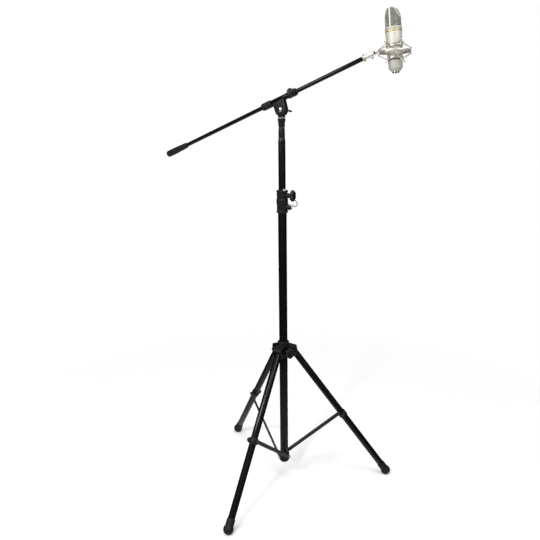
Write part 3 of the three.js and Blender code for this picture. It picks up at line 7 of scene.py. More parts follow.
import logging
import math
from collections.abc import Iterable, Iterator, Sequence
from dataclasses import dataclass, field
from enum import Enum

import bmesh
import bpy
from mathutils import Matrix, Vector


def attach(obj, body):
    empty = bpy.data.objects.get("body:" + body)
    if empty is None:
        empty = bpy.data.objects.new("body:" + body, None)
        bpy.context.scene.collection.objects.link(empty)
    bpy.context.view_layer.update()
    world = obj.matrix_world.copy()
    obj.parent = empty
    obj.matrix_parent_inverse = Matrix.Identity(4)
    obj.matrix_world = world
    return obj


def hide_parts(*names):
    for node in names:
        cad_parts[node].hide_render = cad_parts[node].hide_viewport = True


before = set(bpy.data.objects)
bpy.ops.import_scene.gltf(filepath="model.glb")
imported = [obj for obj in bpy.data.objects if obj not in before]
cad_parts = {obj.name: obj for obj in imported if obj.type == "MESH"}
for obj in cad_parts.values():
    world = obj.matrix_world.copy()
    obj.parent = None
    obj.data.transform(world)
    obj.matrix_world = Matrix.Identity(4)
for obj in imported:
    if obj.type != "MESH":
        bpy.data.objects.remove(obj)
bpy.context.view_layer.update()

LOG = logging.getLogger("boom_stand")

# Lengths in millimetres, facet counts, shares and angles that all pieces use
MM = 0.001
GAP = 0.3
FINE_ROUND = 96
ROUND = 64
SMALL_ROUND = 32
SHANK_ROUND = 24
WIRE_ROUND = 20
BEVEL_STEPS = 3
CORD_RINGS = 3
CORD_STEPS = 6
MERGE_DISTANCE = 0.001
CUT_DISTANCE = 0.0001
CORNER_SHARE = 0.45
FULL_TURN = 2 * math.pi
STRAIGHT_ANGLE = math.radians(6)
SMOOTH_ANGLE = math.radians(32)
EDGE_ANGLE = math.radians(38)
STILL = Matrix.Identity(4)
LEG_AZIMUTHS = (33.56, 153.56, 273.56)

# The middle of a noise, the two noises of every finish, and how deep its relief is
NOISE_LOW, NOISE_HIGH = 0.35, 0.65
CLOUD_SCALE, CLOUD_DETAIL = 14.0, 4.0
TOUCH_SCALE, TOUCH_DETAIL = 60.0, 6.0
BLEND_POWER = 0.5
BUMP_DEPTH = 0.0001

Point2 = tuple[float, float]
Profile = Sequence[Point2]
Colour = tuple[float, float, float]
Socket = bpy.types.NodeSocket
Value = Socket | float | Sequence[float]


# Placing

def at(x: float = 0.0, y: float = 0.0, z: float = 0.0) -> Matrix:
    """A move to a place, in millimetres."""
    return Matrix.Translation((x, y, z))


def about(axis: str, degrees: float) -> Matrix:
    """A turn about one of the frame's axes."""
    return Matrix.Rotation(math.radians(degrees), 4, axis)


def around(radius: float, azimuth: float, height: float) -> Vector:
    """A point at a radius, an azimuth in degrees and a height."""
    angle = math.radians(azimuth)
    return Vector((radius * math.cos(angle), radius * math.sin(angle), height))


def evenly(count: int) -> Iterator[Matrix]:
    """Turns about +Z, a number of them evenly round it."""
    return (about("Z", 360 / count * step) for step in range(count))


# Finishes

class Texture(Enum):
    """How the fine texture of a finish lies."""

    ORANGE_PEEL = "orange peel of a baked powder coat"
    MOULDED = "fine grain of a mould"
    RUBBED = "long fine scratches of handled plating"
    BLASTED = "tight even grain of blasted metal"
    BRAIDED = "threads that run round a cord"
    WOVEN = "crossed wires of a fine cloth"


class NodeSheet:
    """The node tree of one material or of the surroundings."""

    def __init__(self, owner: bpy.types.Material | bpy.types.World) -> None:
        """Opens the node tree of a material or of the surroundings.

        Args:
            owner: the material or the surroundings.
        """
        owner.use_nodes = True
        self.tree = owner.node_tree
        self.coordinates = self.node("ShaderNodeTexCoord")

    def fill(self, target: Socket, value: Value) -> None:
        """Links an input to a socket, or sets it to a plain value.

        Args:
            target: the input.
            value: the socket or the plain value.
        """
        if isinstance(value, Socket):
            self.tree.links.new(value, target)
        else:
            target.default_value = value

    def put(self, node: bpy.types.Node, **values: Value) -> bpy.types.Node:
        """Fills a node's inputs by name.

        Args:
            node: the node.
            values: sockets or plain values, with underscores for the spaces in the names.

        Returns:
            The same node.
        """
        for name, value in values.items():
            self.fill(node.inputs[name.replace("_", " ")], value)
        return node

    def node(self, kind: str, *choices: tuple[str, str], **values: Value) -> bpy.types.Node:
        """Adds a node.

        Args:
            kind: its type.
            choices: its options, each with what is chosen.
            values: its inputs, as put takes them.

        Returns:
            The new node.
        """
        made = self.tree.nodes.new(kind)
        for option, choice in choices:
            setattr(made, option, choice)
        return self.put(made, **values)

    def placed(self, source: str = "Object", stretch: Sequence[float] = (1.0, 1.0, 1.0)) -> Socket:
        """Coordinates of one kind, stretched along X, Y and Z."""
        vector = self.coordinates.outputs[source]
        return self.node("ShaderNodeMapping", Vector=vector, Scale=stretch).outputs["Vector"]

    def noise(self, vector: Socket, scale: float, detail: float) -> Socket:
        """Cloudy values from 0 to 1 over a vector."""
        made = self.node("ShaderNodeTexNoise", Vector=vector, Scale=scale, Detail=detail)
        return made.outputs["Fac"]

    def bands(self, vector: Socket, direction: str, scale: float) -> Socket:
        """Even ridges, counted along one direction of a vector."""
        choices = ("wave_type", "BANDS"), ("bands_direction", direction)
        return self.node("ShaderNodeTexWave", *choices, Vector=vector, Scale=scale).outputs["Fac"]

    def spread(self, value: Socket, source: Point2, target: Point2, how: str = "LINEAR") -> Socket:
        """A value spread from one range to another."""
        return self.node("ShaderNodeMapRange", ("interpolation_type", how), Value=value,
                         From_Min=source[0], From_Max=source[1], To_Min=target[0],
                         To_Max=target[1]).outputs["Result"]

    def mixed(self, value: Socket, first: Colour, second: Colour) -> Socket:
        """A colour that goes from one to another over the middle of a noise.

        Args:
            value: the noise.
            first: the colour where it is low.
            second: the colour where it is high.

        Returns:
            The colour.
        """
        made = self.node("ShaderNodeValToRGB", Fac=value)
        low, high = made.color_ramp.elements
        low.position, high.position = NOISE_LOW, NOISE_HIGH
        low.color, high.color = (*first, 1.0), (*second, 1.0)
        return made.outputs["Color"]

    def combined(self, how: str, first: Socket, second: Value) -> Socket:
        """The result of a maths node.

        Args:
            how: what the node does.
            first: its first value.
            second: its second value.

        Returns:
            The result.
        """
        made = self.node("ShaderNodeMath", ("operation", how), Value=first)
        self.fill(made.inputs[1], second)
        return made.outputs["Value"]


@dataclass(frozen=True)
class Finish:
    """A surface finish: two near colours, a range of gloss and a fine texture."""

    name: str
    slot: str
    colour: Colour
    worn_colour: Colour
    gloss_low: float
    gloss_high: float
    texture: Texture
    metallic: float = 0.0
    specular: float = 0.5
    relief: float = 0.15
    grain: float = 900.0

    def material(self) -> bpy.types.Material:
        """The finish's material, made once and shared by its pieces."""
        made = bpy.data.materials.get(self.name)
        return made if made else self._build()

    def _build(self) -> bpy.types.Material:
        """Builds the node tree: cloudy colour, cloudy gloss and a fine relief.

        Returns:
            The new material.
        """
        made = bpy.data.materials.new(self.name)
        sheet = NodeSheet(made)
        even = sheet.placed()
        cloud = sheet.noise(even, CLOUD_SCALE, CLOUD_DETAIL)
        handled = sheet.noise(even, TOUCH_SCALE, TOUCH_DETAIL)
        blend = sheet.combined("POWER", sheet.combined("MULTIPLY", cloud, handled), BLEND_POWER)
        gloss = sheet.spread(handled, (NOISE_LOW, NOISE_HIGH), (self.gloss_low, self.gloss_high))
        bump = sheet.node(
            "ShaderNodeBump", Strength=self.relief, Distance=BUMP_DEPTH, Height=self._relief(sheet))
        sheet.put(sheet.tree.nodes["Principled BSDF"], Metallic=self.metallic,
                  Specular_IOR_Level=self.specular, Roughness=gloss, Normal=bump.outputs["Normal"],
                  Base_Color=sheet.mixed(blend, self.colour, self.worn_colour))
        return made

    def _relief(self, sheet: NodeSheet) -> Socket:
        """The fine relief that the texture asks for.

        Args:
            sheet: the material's node tree.

        Returns:
            The height that the bump reads.
        """
        if self.texture is Texture.RUBBED:
            return sheet.noise(sheet.placed(stretch=(1.0, 1.0, 0.12)), self.grain, 3.0)
        if self.texture is Texture.BRAIDED:
            along = sheet.placed("UV")
            return sheet.combined("MULTIPLY", sheet.bands(along, "DIAGONAL", self.grain),
                                  sheet.bands(along, "X", self.grain / 3))
        if self.texture is Texture.WOVEN:
            cloth = sheet.placed("UV")
            return sheet.combined(
                "MAXIMUM", sheet.bands(cloth, "X", self.grain), sheet.bands(cloth, "Y", self.grain))
        details = {Texture.ORANGE_PEEL: 1.0, Texture.MOULDED: 5.0, Texture.BLASTED: 8.0}
        return sheet.noise(sheet.placed(), self.grain, details[self.texture])


POWDER_COAT = Finish(
    "powder_coat_black", "black_paint", (0.0018, 0.0022, 0.0018), (0.003, 0.0032, 0.0028), 0.1,
    0.16, Texture.ORANGE_PEEL, specular=0.22, relief=0.012, grain=500.0)
BRACE_PAINT = Finish(
    "satin_paint_charcoal", "brace_paint", (0.022, 0.0225, 0.021), (0.032, 0.032, 0.03), 0.38, 0.5,
    Texture.ORANGE_PEEL, specular=0.4, relief=0.03, grain=600.0)
BLACKED_STEEL = Finish("blacked_steel", "black_paint", (0.006, 0.0062, 0.006), (0.01, 0.01, 0.0095),
                       0.35, 0.5, Texture.MOULDED, specular=0.3, relief=0.03, grain=1200.0)
MOULDED_NYLON = Finish(
    "moulded_nylon_charcoal", "charcoal_plastic", (0.0062, 0.0076, 0.0068),
    (0.0098, 0.0112, 0.0102), 0.42, 0.56, Texture.MOULDED, specular=0.22, relief=0.06, grain=1100.0)
KNOB_PLASTIC = Finish(
    "knob_plastic_black", "knob_plastic", (0.0038, 0.0041, 0.0043), (0.0062, 0.0066, 0.0068), 0.3,
    0.42, Texture.MOULDED, specular=0.32, relief=0.03, grain=1400.0)
RUBBER = Finish("rubber_black", "rubber", (0.0045, 0.0051, 0.005), (0.008, 0.0085, 0.0082),
                0.5, 0.7, Texture.MOULDED, specular=0.3, relief=0.08, grain=800.0)
BUSH_PLASTIC = Finish("slide_bush_pale", "bush_plastic", (0.6, 0.6, 0.54), (0.7, 0.7, 0.64),
                      0.4, 0.55, Texture.MOULDED, relief=0.03)
ZINC = Finish("zinc_plating", "zinc", (0.42, 0.42, 0.41), (0.54, 0.535, 0.515), 0.28, 0.4,
              Texture.RUBBED, metallic=0.7, relief=0.03)
CHROME = Finish("chrome_plating", "chrome", (0.7, 0.7, 0.68), (0.8, 0.8, 0.78), 0.12, 0.22,
                Texture.RUBBED, metallic=1.0, relief=0.015)
NICKEL = Finish("nickel_plating", "nickel", (0.62, 0.585, 0.51), (0.74, 0.7, 0.63), 0.26, 0.36,
                Texture.RUBBED, metallic=0.6, relief=0.015)
DARK_ZINC = Finish("darkened_zinc", "zinc", (0.016, 0.016, 0.015), (0.03, 0.03, 0.028), 0.4, 0.5,
                   Texture.RUBBED, metallic=0.2, specular=0.3, relief=0.02)
TURNED_BLACK = Finish(
    "turned_black", "black_paint", (0.0062, 0.0072, 0.0064), (0.0098, 0.0108, 0.0098), 0.36, 0.46,
    Texture.MOULDED, specular=0.3, relief=0.012, grain=1400.0)
GLOSS_BLACK = Finish("gloss_black", "black_paint", (0.0025, 0.003, 0.0026), (0.004, 0.0045, 0.004),
                     0.14, 0.2, Texture.MOULDED, specular=0.9, relief=0.008, grain=1400.0)
MIC_SATIN = Finish(
    "satin_champagne_metal", "mic_satin", (0.52, 0.515, 0.45), (0.58, 0.575, 0.51), 0.44, 0.54,
    Texture.BLASTED, metallic=0.25, specular=0.35, relief=0.03, grain=2600.0)
RIB_SATIN = Finish("bright_satin_metal", "mic_satin", (0.56, 0.55, 0.5), (0.62, 0.61, 0.56),
                   0.42, 0.52, Texture.BLASTED, metallic=0.25, relief=0.03, grain=2600.0)
GRILLE_WIRE = Finish("grille_wire", "mic_mesh", (0.33, 0.33, 0.285), (0.39, 0.39, 0.34), 0.45, 0.55,
                     Texture.BLASTED, metallic=0.2, specular=0.25, relief=0.03, grain=3000.0)
INNER_CLOTH = Finish("inner_wire_cloth", "mic_mesh", (0.29, 0.29, 0.25), (0.34, 0.34, 0.295),
                     0.55, 0.65, Texture.WOVEN, metallic=0.1, specular=0.25, relief=0.4, grain=60.0)
GOLD = Finish("gold_plating", "gold", (0.78, 0.5, 0.16), (0.86, 0.6, 0.24), 0.22, 0.32,
              Texture.RUBBED, metallic=0.7, relief=0.015, grain=1200.0)
ELASTIC = Finish("braided_elastic", "elastic", (0.2, 0.185, 0.165), (0.3, 0.285, 0.26), 0.55, 0.7,
                 Texture.BRAIDED, relief=0.3, grain=40.0)
LANYARD_CORD = Finish(
    "braided_cord_black", "cord_black", (0.004, 0.004, 0.004), (0.008, 0.008, 0.008), 0.6, 0.75,
    Texture.BRAIDED, specular=0.2, relief=0.6, grain=30.0)
CONTACT_DARK = Finish("contact_insert_dark", "chrome", (0.008, 0.008, 0.008), (0.014, 0.014, 0.014),
                      0.4, 0.5, Texture.MOULDED, relief=0.1, grain=1500.0)


# Modelling

def eased(profile: Profile, radius: float, closed: bool = False) -> list[Point2]:
    """Rounds the corners of a profile.

    Args:
        profile: points of radius and height.
        radius: how far each corner is eased along its two sides.
        closed: whether the last point runs on to the first.

    Returns:
        The profile with each corner drawn as a short arc.
    """
    points = [Vector(point) for point in profile]
    count = len(points)
    result: list[Point2] = []
    for index, corner in enumerate(points):
        if not closed and index in (0, count - 1):
            result.append(tuple(corner))
            continue
        before = points[index - 1] - corner
        after = points[(index + 1) % count] - corner
        if before.angle(-after) < STRAIGHT_ANGLE:
            result.append(tuple(corner))
            continue
        start = corner + before.normalized() * min(radius, CORNER_SHARE * before.length)
        end = corner + after.normalized() * min(radius, CORNER_SHARE * after.length)
        result += [tuple(start), tuple((start + 2 * corner + end) / 4), tuple(end)]
    return result


def arc(centre: Point2, radius: float, start: float, end: float, steps: int = 12) -> list[Point2]:
    """Points along an arc, from one angle in degrees to another."""
    angles = [math.radians(start + (end - start) * step / steps) for step in range(steps + 1)]
    return [(centre[0] + radius * math.cos(a), centre[1] + radius * math.sin(a)) for a in angles]


def soft_curve(points: Sequence[Vector], steps: int) -> list[Vector]:
    """Points along a soft curve through a route.

    Args:
        points: the route.
        steps: how many points each stretch gets.

    Returns:
        The points, ends included.
    """
    row = [points[0], *points, points[-1]]
    result = []
    for a, b, c, d in zip(row, row[1:], row[2:], row[3:]):
        for step in range(steps):
            t = step / steps
            result.append(0.5 * (2 * b + (c - a) * t + (2 * a - 5 * b + 4 * c - d) * t ** 2
                                 + (3 * b - a - 3 * c + d) * t ** 3))
    return [*result, points[-1].copy()]


def plain(inner: float, outer: float, low: float, high: float) -> list[Point2]:
    """The section of a plain tube or ring, or of a disc where it starts at the axis."""
    return [(inner, low), (outer, low), (outer, high), (inner, high)]


class Workpiece:
    """A mesh in the making, in millimetres, in its own local frame."""

    def __init__(self) -> None:
        """Starts with nothing."""
        self.mesh = bmesh.new()

    def take(self, part: bmesh.types.BMesh, place: Matrix = STILL,
             ease: float = 0.0) -> "Workpiece":
        """Adds a finished form, its edges eased and its faces turned outwards.

        Args:
            part: the form, which is used up.
            place: where it goes.
            ease: how far its sharp edges are rounded.

        Returns:
            The workpiece.
        """
        bmesh.ops.remove_doubles(part, verts=part.verts, dist=MERGE_DISTANCE)
        bmesh.ops.recalc_face_normals(part, faces=part.faces)
        if ease:
            sharp = [edge for edge in part.edges
                     if len(edge.link_faces) == 2 and edge.calc_face_angle() > EDGE_ANGLE]
            bmesh.ops.bevel(
                part, geom=sharp, offset=ease, offset_type="OFFSET", segments=BEVEL_STEPS,
                profile=0.5, affect="EDGES", material=-1, clamp_overlap=True)
        part.transform(place)
        carried = bpy.data.meshes.new("carried")
        part.to_mesh(carried)
        self.mesh.from_mesh(carried)
        part.free()
        bpy.data.meshes.remove(carried)
        return self

    def turn(self, profile: Profile, ease: float = 0.4, closed: bool = False,
             place: Matrix = STILL, segments: int = ROUND) -> "Workpiece":
        """A form turned about +Z.

        Args:
            profile: points of radius and height.
            ease: how far the rims are rounded.
            closed: whether the profile closes on itself, as a ring's does.
            place: where the form goes.
            segments: facets round the axis.

        Returns:
            The workpiece.
        """
        part = bmesh.new()
        points = eased(profile, ease, closed) if ease else list(profile)
        verts = [part.verts.new((radius, 0.0, height)) for radius, height in points]
        pairs = list(zip(verts, verts[1:])) + ([(verts[-1], verts[0])] if closed else [])
        edges = [part.edges.new(pair) for pair in pairs]
        bmesh.ops.spin(part, geom=verts + edges, cent=(0, 0, 0), axis=(0, 0, 1), angle=FULL_TURN,
                       steps=segments, use_merge=True, use_duplicate=False)
        return self.take(part, place)

    def sector(self, profile: Profile, middle: float, span: float, steps: int = 8,
               ease: float = 0.3, drop: float = 0.0) -> "Workpiece":
        """Part of a turned ring, closed at both ends.

        Args:
            profile: the section's points of radius and height.
            middle: the azimuth of its middle, in degrees.
            span: how many degrees it covers.
            steps: facets along it.
            ease: how far its edges are rounded.
            drop: how far its upper side comes down from its first end to its last.

        Returns:
            The workpiece.
        """
        part = bmesh.new()
        face = part.faces.new([part.verts.new((r, 0.0, h)) for r, h in profile])
        bmesh.ops.spin(part, geom=[face], cent=(0, 0, 0), axis=(0, 0, 1), angle=math.radians(span),
                       steps=steps, use_merge=False, use_duplicate=False)
        floor = min(h for _, h in profile)
        for vert in part.verts:
            if vert.co.z > floor + 0.01:
                vert.co.z -= drop * math.degrees(math.atan2(vert.co.y, vert.co.x)) / span
        return self.take(part, about("Z", middle - span / 2), ease)

    def bar(self, start: Vector, end: Vector, radius: float, end_radius: float | None = None,
            segments: int = SMALL_ROUND, ease: float = 0.0) -> "Workpiece":
        """A round bar or cone between two points.

        Args:
            start: the middle of its first end.
            end: the middle of its last end.
            radius: its radius at the first end.
            end_radius: a cone's radius at its last end.
            segments: facets round it.
            ease: how far its rims are rounded.

        Returns:
            The workpiece.
        """
        run = Vector(end) - Vector(start)
        tip = radius if end_radius is None else end_radius
        part = bmesh.new()
        bmesh.ops.create_cone(part, cap_ends=True, cap_tris=False, segments=segments,
                              radius1=radius, radius2=tip, depth=run.length)
        turn = run.to_track_quat("Z", "Y").to_matrix().to_4x4()
        return self.take(part, Matrix.Translation((Vector(start) + Vector(end)) / 2) @ turn, ease)

    def ball(self, centre: Vector, radius: float) -> "Workpiece":
        """A small ball.

        Args:
            centre: its middle.
            radius: its radius.

        Returns:
            The workpiece.
        """
        part = bmesh.new()
        bmesh.ops.create_uvsphere(part, u_segments=WIRE_ROUND, v_segments=12, radius=radius)
        return self.take(part, Matrix.Translation(centre))

    def block(self, low: Sequence[float], high: Sequence[float], ease: float = 0.5,
              place: Matrix = STILL) -> "Workpiece":
        """A box between two corners.

        Args:
            low: the corner with the lowest coordinates.
            high: the opposite corner.
            ease: how far its edges are rounded.
            place: where it goes.

        Returns:
            The workpiece.
        """
        part = bmesh.new()
        bmesh.ops.create_cube(part, size=1.0)
        size = [b - a for a, b in zip(low, high)]
        middle = [(a + b) / 2 for a, b in zip(low, high)]
        bmesh.ops.scale(part, vec=size, verts=part.verts)
        bmesh.ops.translate(part, vec=middle, verts=part.verts)
        return self.take(part, place, ease)

    def plate(self, outline: Profile, near: float, far: float, ease: float = 0.6,
              place: Matrix = STILL) -> "Workpiece":
        """A plate: its outline in X and Z, its thickness along Y.

        Args:
            outline: points of X and Z, in order.
            near: the Y of one face.
            far: the Y of the other.
            ease: how far its edges are rounded.
            place: where it goes.

        Returns:
            The workpiece.
        """
        part = bmesh.new()
        face = part.faces.new([part.verts.new((x, near, z)) for x, z in outline])
        raised = bmesh.ops.extrude_face_region(part, geom=[face], use_keep_orig=True)["geom"]
        bmesh.ops.translate(part, vec=(0, far - near, 0),
                            verts=[v for v in raised if isinstance(v, bmesh.types.BMVert)])
        return self.take(part, place, ease)

    def trim(self, point: Vector, outward: Vector) -> "Workpiece":
        """Cuts away what lies past a plane and closes the cut.

        Args:
            point: a point of the plane.
            outward: the direction in which material is cut away.

        Returns:
            The workpiece.
        """
        whole = self.mesh.verts[:] + self.mesh.edges[:] + self.mesh.faces[:]
        cut = bmesh.ops.bisect_plane(self.mesh, geom=whole, dist=CUT_DISTANCE, plane_co=point,
                                     plane_no=outward, clear_outer=True)["geom_cut"]
        rim = [item for item in cut if isinstance(item, bmesh.types.BMEdge)]
        bmesh.ops.holes_fill(self.mesh, edges=rim, sides=0)
        return self

    def finish(self, name: str, place: Matrix, finish: Finish, body: str,
               *nodes: str) -> bpy.types.Object:
        """Makes the piece, puts it on its body and lets it stand for its solids.

        Args:
            name: the piece's name.
            place: the local frame in the part's frame, in millimetres.
            finish: what it is covered with.
            body: the body that it rides on.
            nodes: the solids that it replaces.

        Returns:
            The finished piece.
        """
        self.mesh.transform(Matrix.Scale(MM, 4) @ place)
        data = bpy.data.meshes.new(name)
        self.mesh.to_mesh(data)
        self.mesh.free()
        return dressed(name, data, finish, body, *nodes)


def dressed(name: str, data: bpy.types.Mesh, finish: Finish, body: str,
            *nodes: str) -> bpy.types.Object:
    """An object of a mesh that is already in its place, shaded, finished and riding.

    Args:
        name: the piece's name.
        data: its mesh, in metres.
        finish: what it is covered with.
        body: the body that it rides on.
        nodes: the solids that it replaces.

    Returns:
        The piece.
    """
    data.polygons.foreach_set("use_smooth", [True] * len(data.polygons))
    data.set_sharp_from_angle(angle=SMOOTH_ANGLE)
    data.materials.append(finish.material())
    piece = bpy.data.objects.new(name, data)
    bpy.context.scene.collection.objects.link(piece)
    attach(piece, body)
    if nodes:
        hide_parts(*nodes)
    LOG.info("%s: %d faces, on %s, for %s", name, len(data.polygons), body,
             ", ".join(nodes) or "none")
    return piece


def swept(points: Iterable[Vector], radius: float, place: Matrix, closed: bool,
          smooth: bool) -> bpy.types.Mesh:
    """A round cord's mesh along a route, with its own UV map.

    Args:
        points: the route, in millimetres.
        radius: the cord's radius, in millimetres.
        place: the local frame in the part's frame.
        closed: whether the route runs back to its start.
        smooth: whether it bends softly between its points.

    Returns:
        The mesh, in metres.
    """
    route = [Matrix.Scale(MM, 4) @ place @ Vector(point) for point in points]
    curve = bpy.data.curves.new("route", "CURVE")
    curve.dimensions = "3D"
    curve.bevel_depth = radius * MM
    curve.bevel_resolution = CORD_RINGS
    curve.use_fill_caps = True
    curve.resolution_u = CORD_STEPS
    spline = curve.splines.new("BEZIER" if smooth else "POLY")
    row = spline.bezier_points if smooth else spline.points
    row.add(len(route) - 1)
    for knot, point in zip(row, route):
        if smooth:
            knot.co = point
            knot.handle_left_type = knot.handle_right_type = "AUTO"
        else:
            knot.co = (*point, 1.0)
    spline.use_cyclic_u = closed
    carrier = bpy.data.objects.new("route", curve)
    bpy.context.scene.collection.objects.link(carrier)
    bpy.context.view_layer.update()
    shown = carrier.evaluated_get(bpy.context.evaluated_depsgraph_get())
    mesh = bpy.data.meshes.new_from_object(shown)
    bpy.data.objects.remove(carrier)
    bpy.data.curves.remove(curve)
    return mesh


# Fasteners and knobs

@dataclass
class Fastener:
    """A bolt's sizes and its shank, head and nut."""

    shank_radius: float = 4.0
    head_radius: float = 6.5
    head_height: float = 4.0
    rim_share: float = 0.55
    crown_share: float = 0.72
    socket_share: float = 0.42
    nut_across: float = 13.0
    nut_height: float = 5.0

    def shank(self, piece: Workpiece, start: Sequence[float], end: Sequence[float]) -> None:
        """The shank between two points."""
        piece.bar(start, end, self.shank_radius, segments=SHANK_ROUND)

    def head(self, piece: Workpiece, place: Matrix) -> None:
        """A low domed head with a hexagon socket.

        Args:
            piece: the workpiece that gets it.
            place: the frame of its seat, with the head along +Z.
        """
        rim = self.head_height * self.rim_share
        socket = self.head_radius * self.socket_share
        profile = [(0, 0), (self.head_radius, 0), (self.head_radius, rim),
                   (self.head_radius * self.crown_share, self.head_height),
                   (socket, self.head_height), (socket, rim), (0, rim)]
        piece.turn(profile, ease=0.7, place=place, segments=SMALL_ROUND)

    def nut(self, piece: Workpiece, place: Matrix) -> None:
        """A hexagon nut with the tip of its bolt.

        Args:
            piece: the workpiece that gets it.
            place: the frame of its seat, with the nut along +Z.
        """
        corner = self.nut_across / 2 / math.cos(math.pi / 6)
        part = bmesh.new()
        bmesh.ops.create_cone(
            part, cap_ends=True, segments=6, depth=self.nut_height, radius1=corner, radius2=corner)
        piece.take(part, place @ at(z=self.nut_height / 2), ease=0.6)
        piece.turn(plain(0, self.shank_radius, self.nut_height - 1, self.nut_height), ease=0.4,
                   place=place, segments=SMALL_ROUND)


@dataclass
class LobedKnob:
    """A moulded hand knob with soft lobes, its screw tip at the frame's origin, along +Z."""

    diameter: float
    thickness: float
    face: float
    stem_bottom: float
    stem_radius: float = 8.25
    screw_radius: float = 4.0
    lobes: int = 6
    lobe_share: float = 0.2
    centre_share: float = 0.32
    levels: tuple[Point2, ...] = (
        (0.0, 0.9), (0.05, 0.96), (0.15, 1.0), (0.62, 1.0), (0.8, 0.97), (0.92, 0.9), (0.985, 0.8),
        (1.0, 0.7), (0.94, 0.5), (0.93, 0.25))

    def outline(self, share: float) -> list[Point2]:
        """The lobed outline.

        Args:
            share: its share of the knob's full size.

        Returns:
            Its points.
        """
        points = []
        centre = self.centre_share * self.diameter
        lobe = self.lobe_share * self.diameter
        steps = 16 * self.lobes
        pitch = FULL_TURN / self.lobes
        for step in range(steps):
            angle = FULL_TURN * step / steps
            off = (angle + pitch / 2) % pitch - pitch / 2
            reach = centre * math.cos(off) + math.sqrt(lobe ** 2 - (centre * math.sin(off)) ** 2)
            points.append((reach * share * math.cos(angle), reach * share * math.sin(angle)))
        return points

    def build(self) -> Workpiece:
        """Raises the lobed body in rounded steps over its stem and screw.

        Returns:
            The knob's workpiece.
        """
        piece = Workpiece()
        bottom = self.face - self.thickness
        foot = self.outline(self.levels[0][1])
        part = bmesh.new()
        top = part.faces.new([part.verts.new((x, y, bottom)) for x, y in foot])
        for (_, share_before), (height, share) in zip(self.levels, self.levels[1:]):
            top = bmesh.ops.extrude_discrete_faces(part, faces=[top])["faces"][0]
            level = bottom + height * self.thickness
            for vert in top.verts:
                vert.co = Vector((
                    vert.co.x * share / share_before, vert.co.y * share / share_before, level))
        part.faces.new([part.verts.new((x, y, bottom)) for x, y in reversed(foot)])
        piece.take(part)
        neck = self.stem_radius
        piece.turn([(0, self.stem_bottom), (neck, self.stem_bottom), (neck, bottom - 2),
                    (neck + 2, bottom + 1), (0, bottom + 1)], ease=0.8, segments=SMALL_ROUND)
        piece.bar((0, 0, 0), (0, 0, self.stem_bottom + 2), self.screw_radius, segments=SHANK_ROUND)
        return piece


# Mast

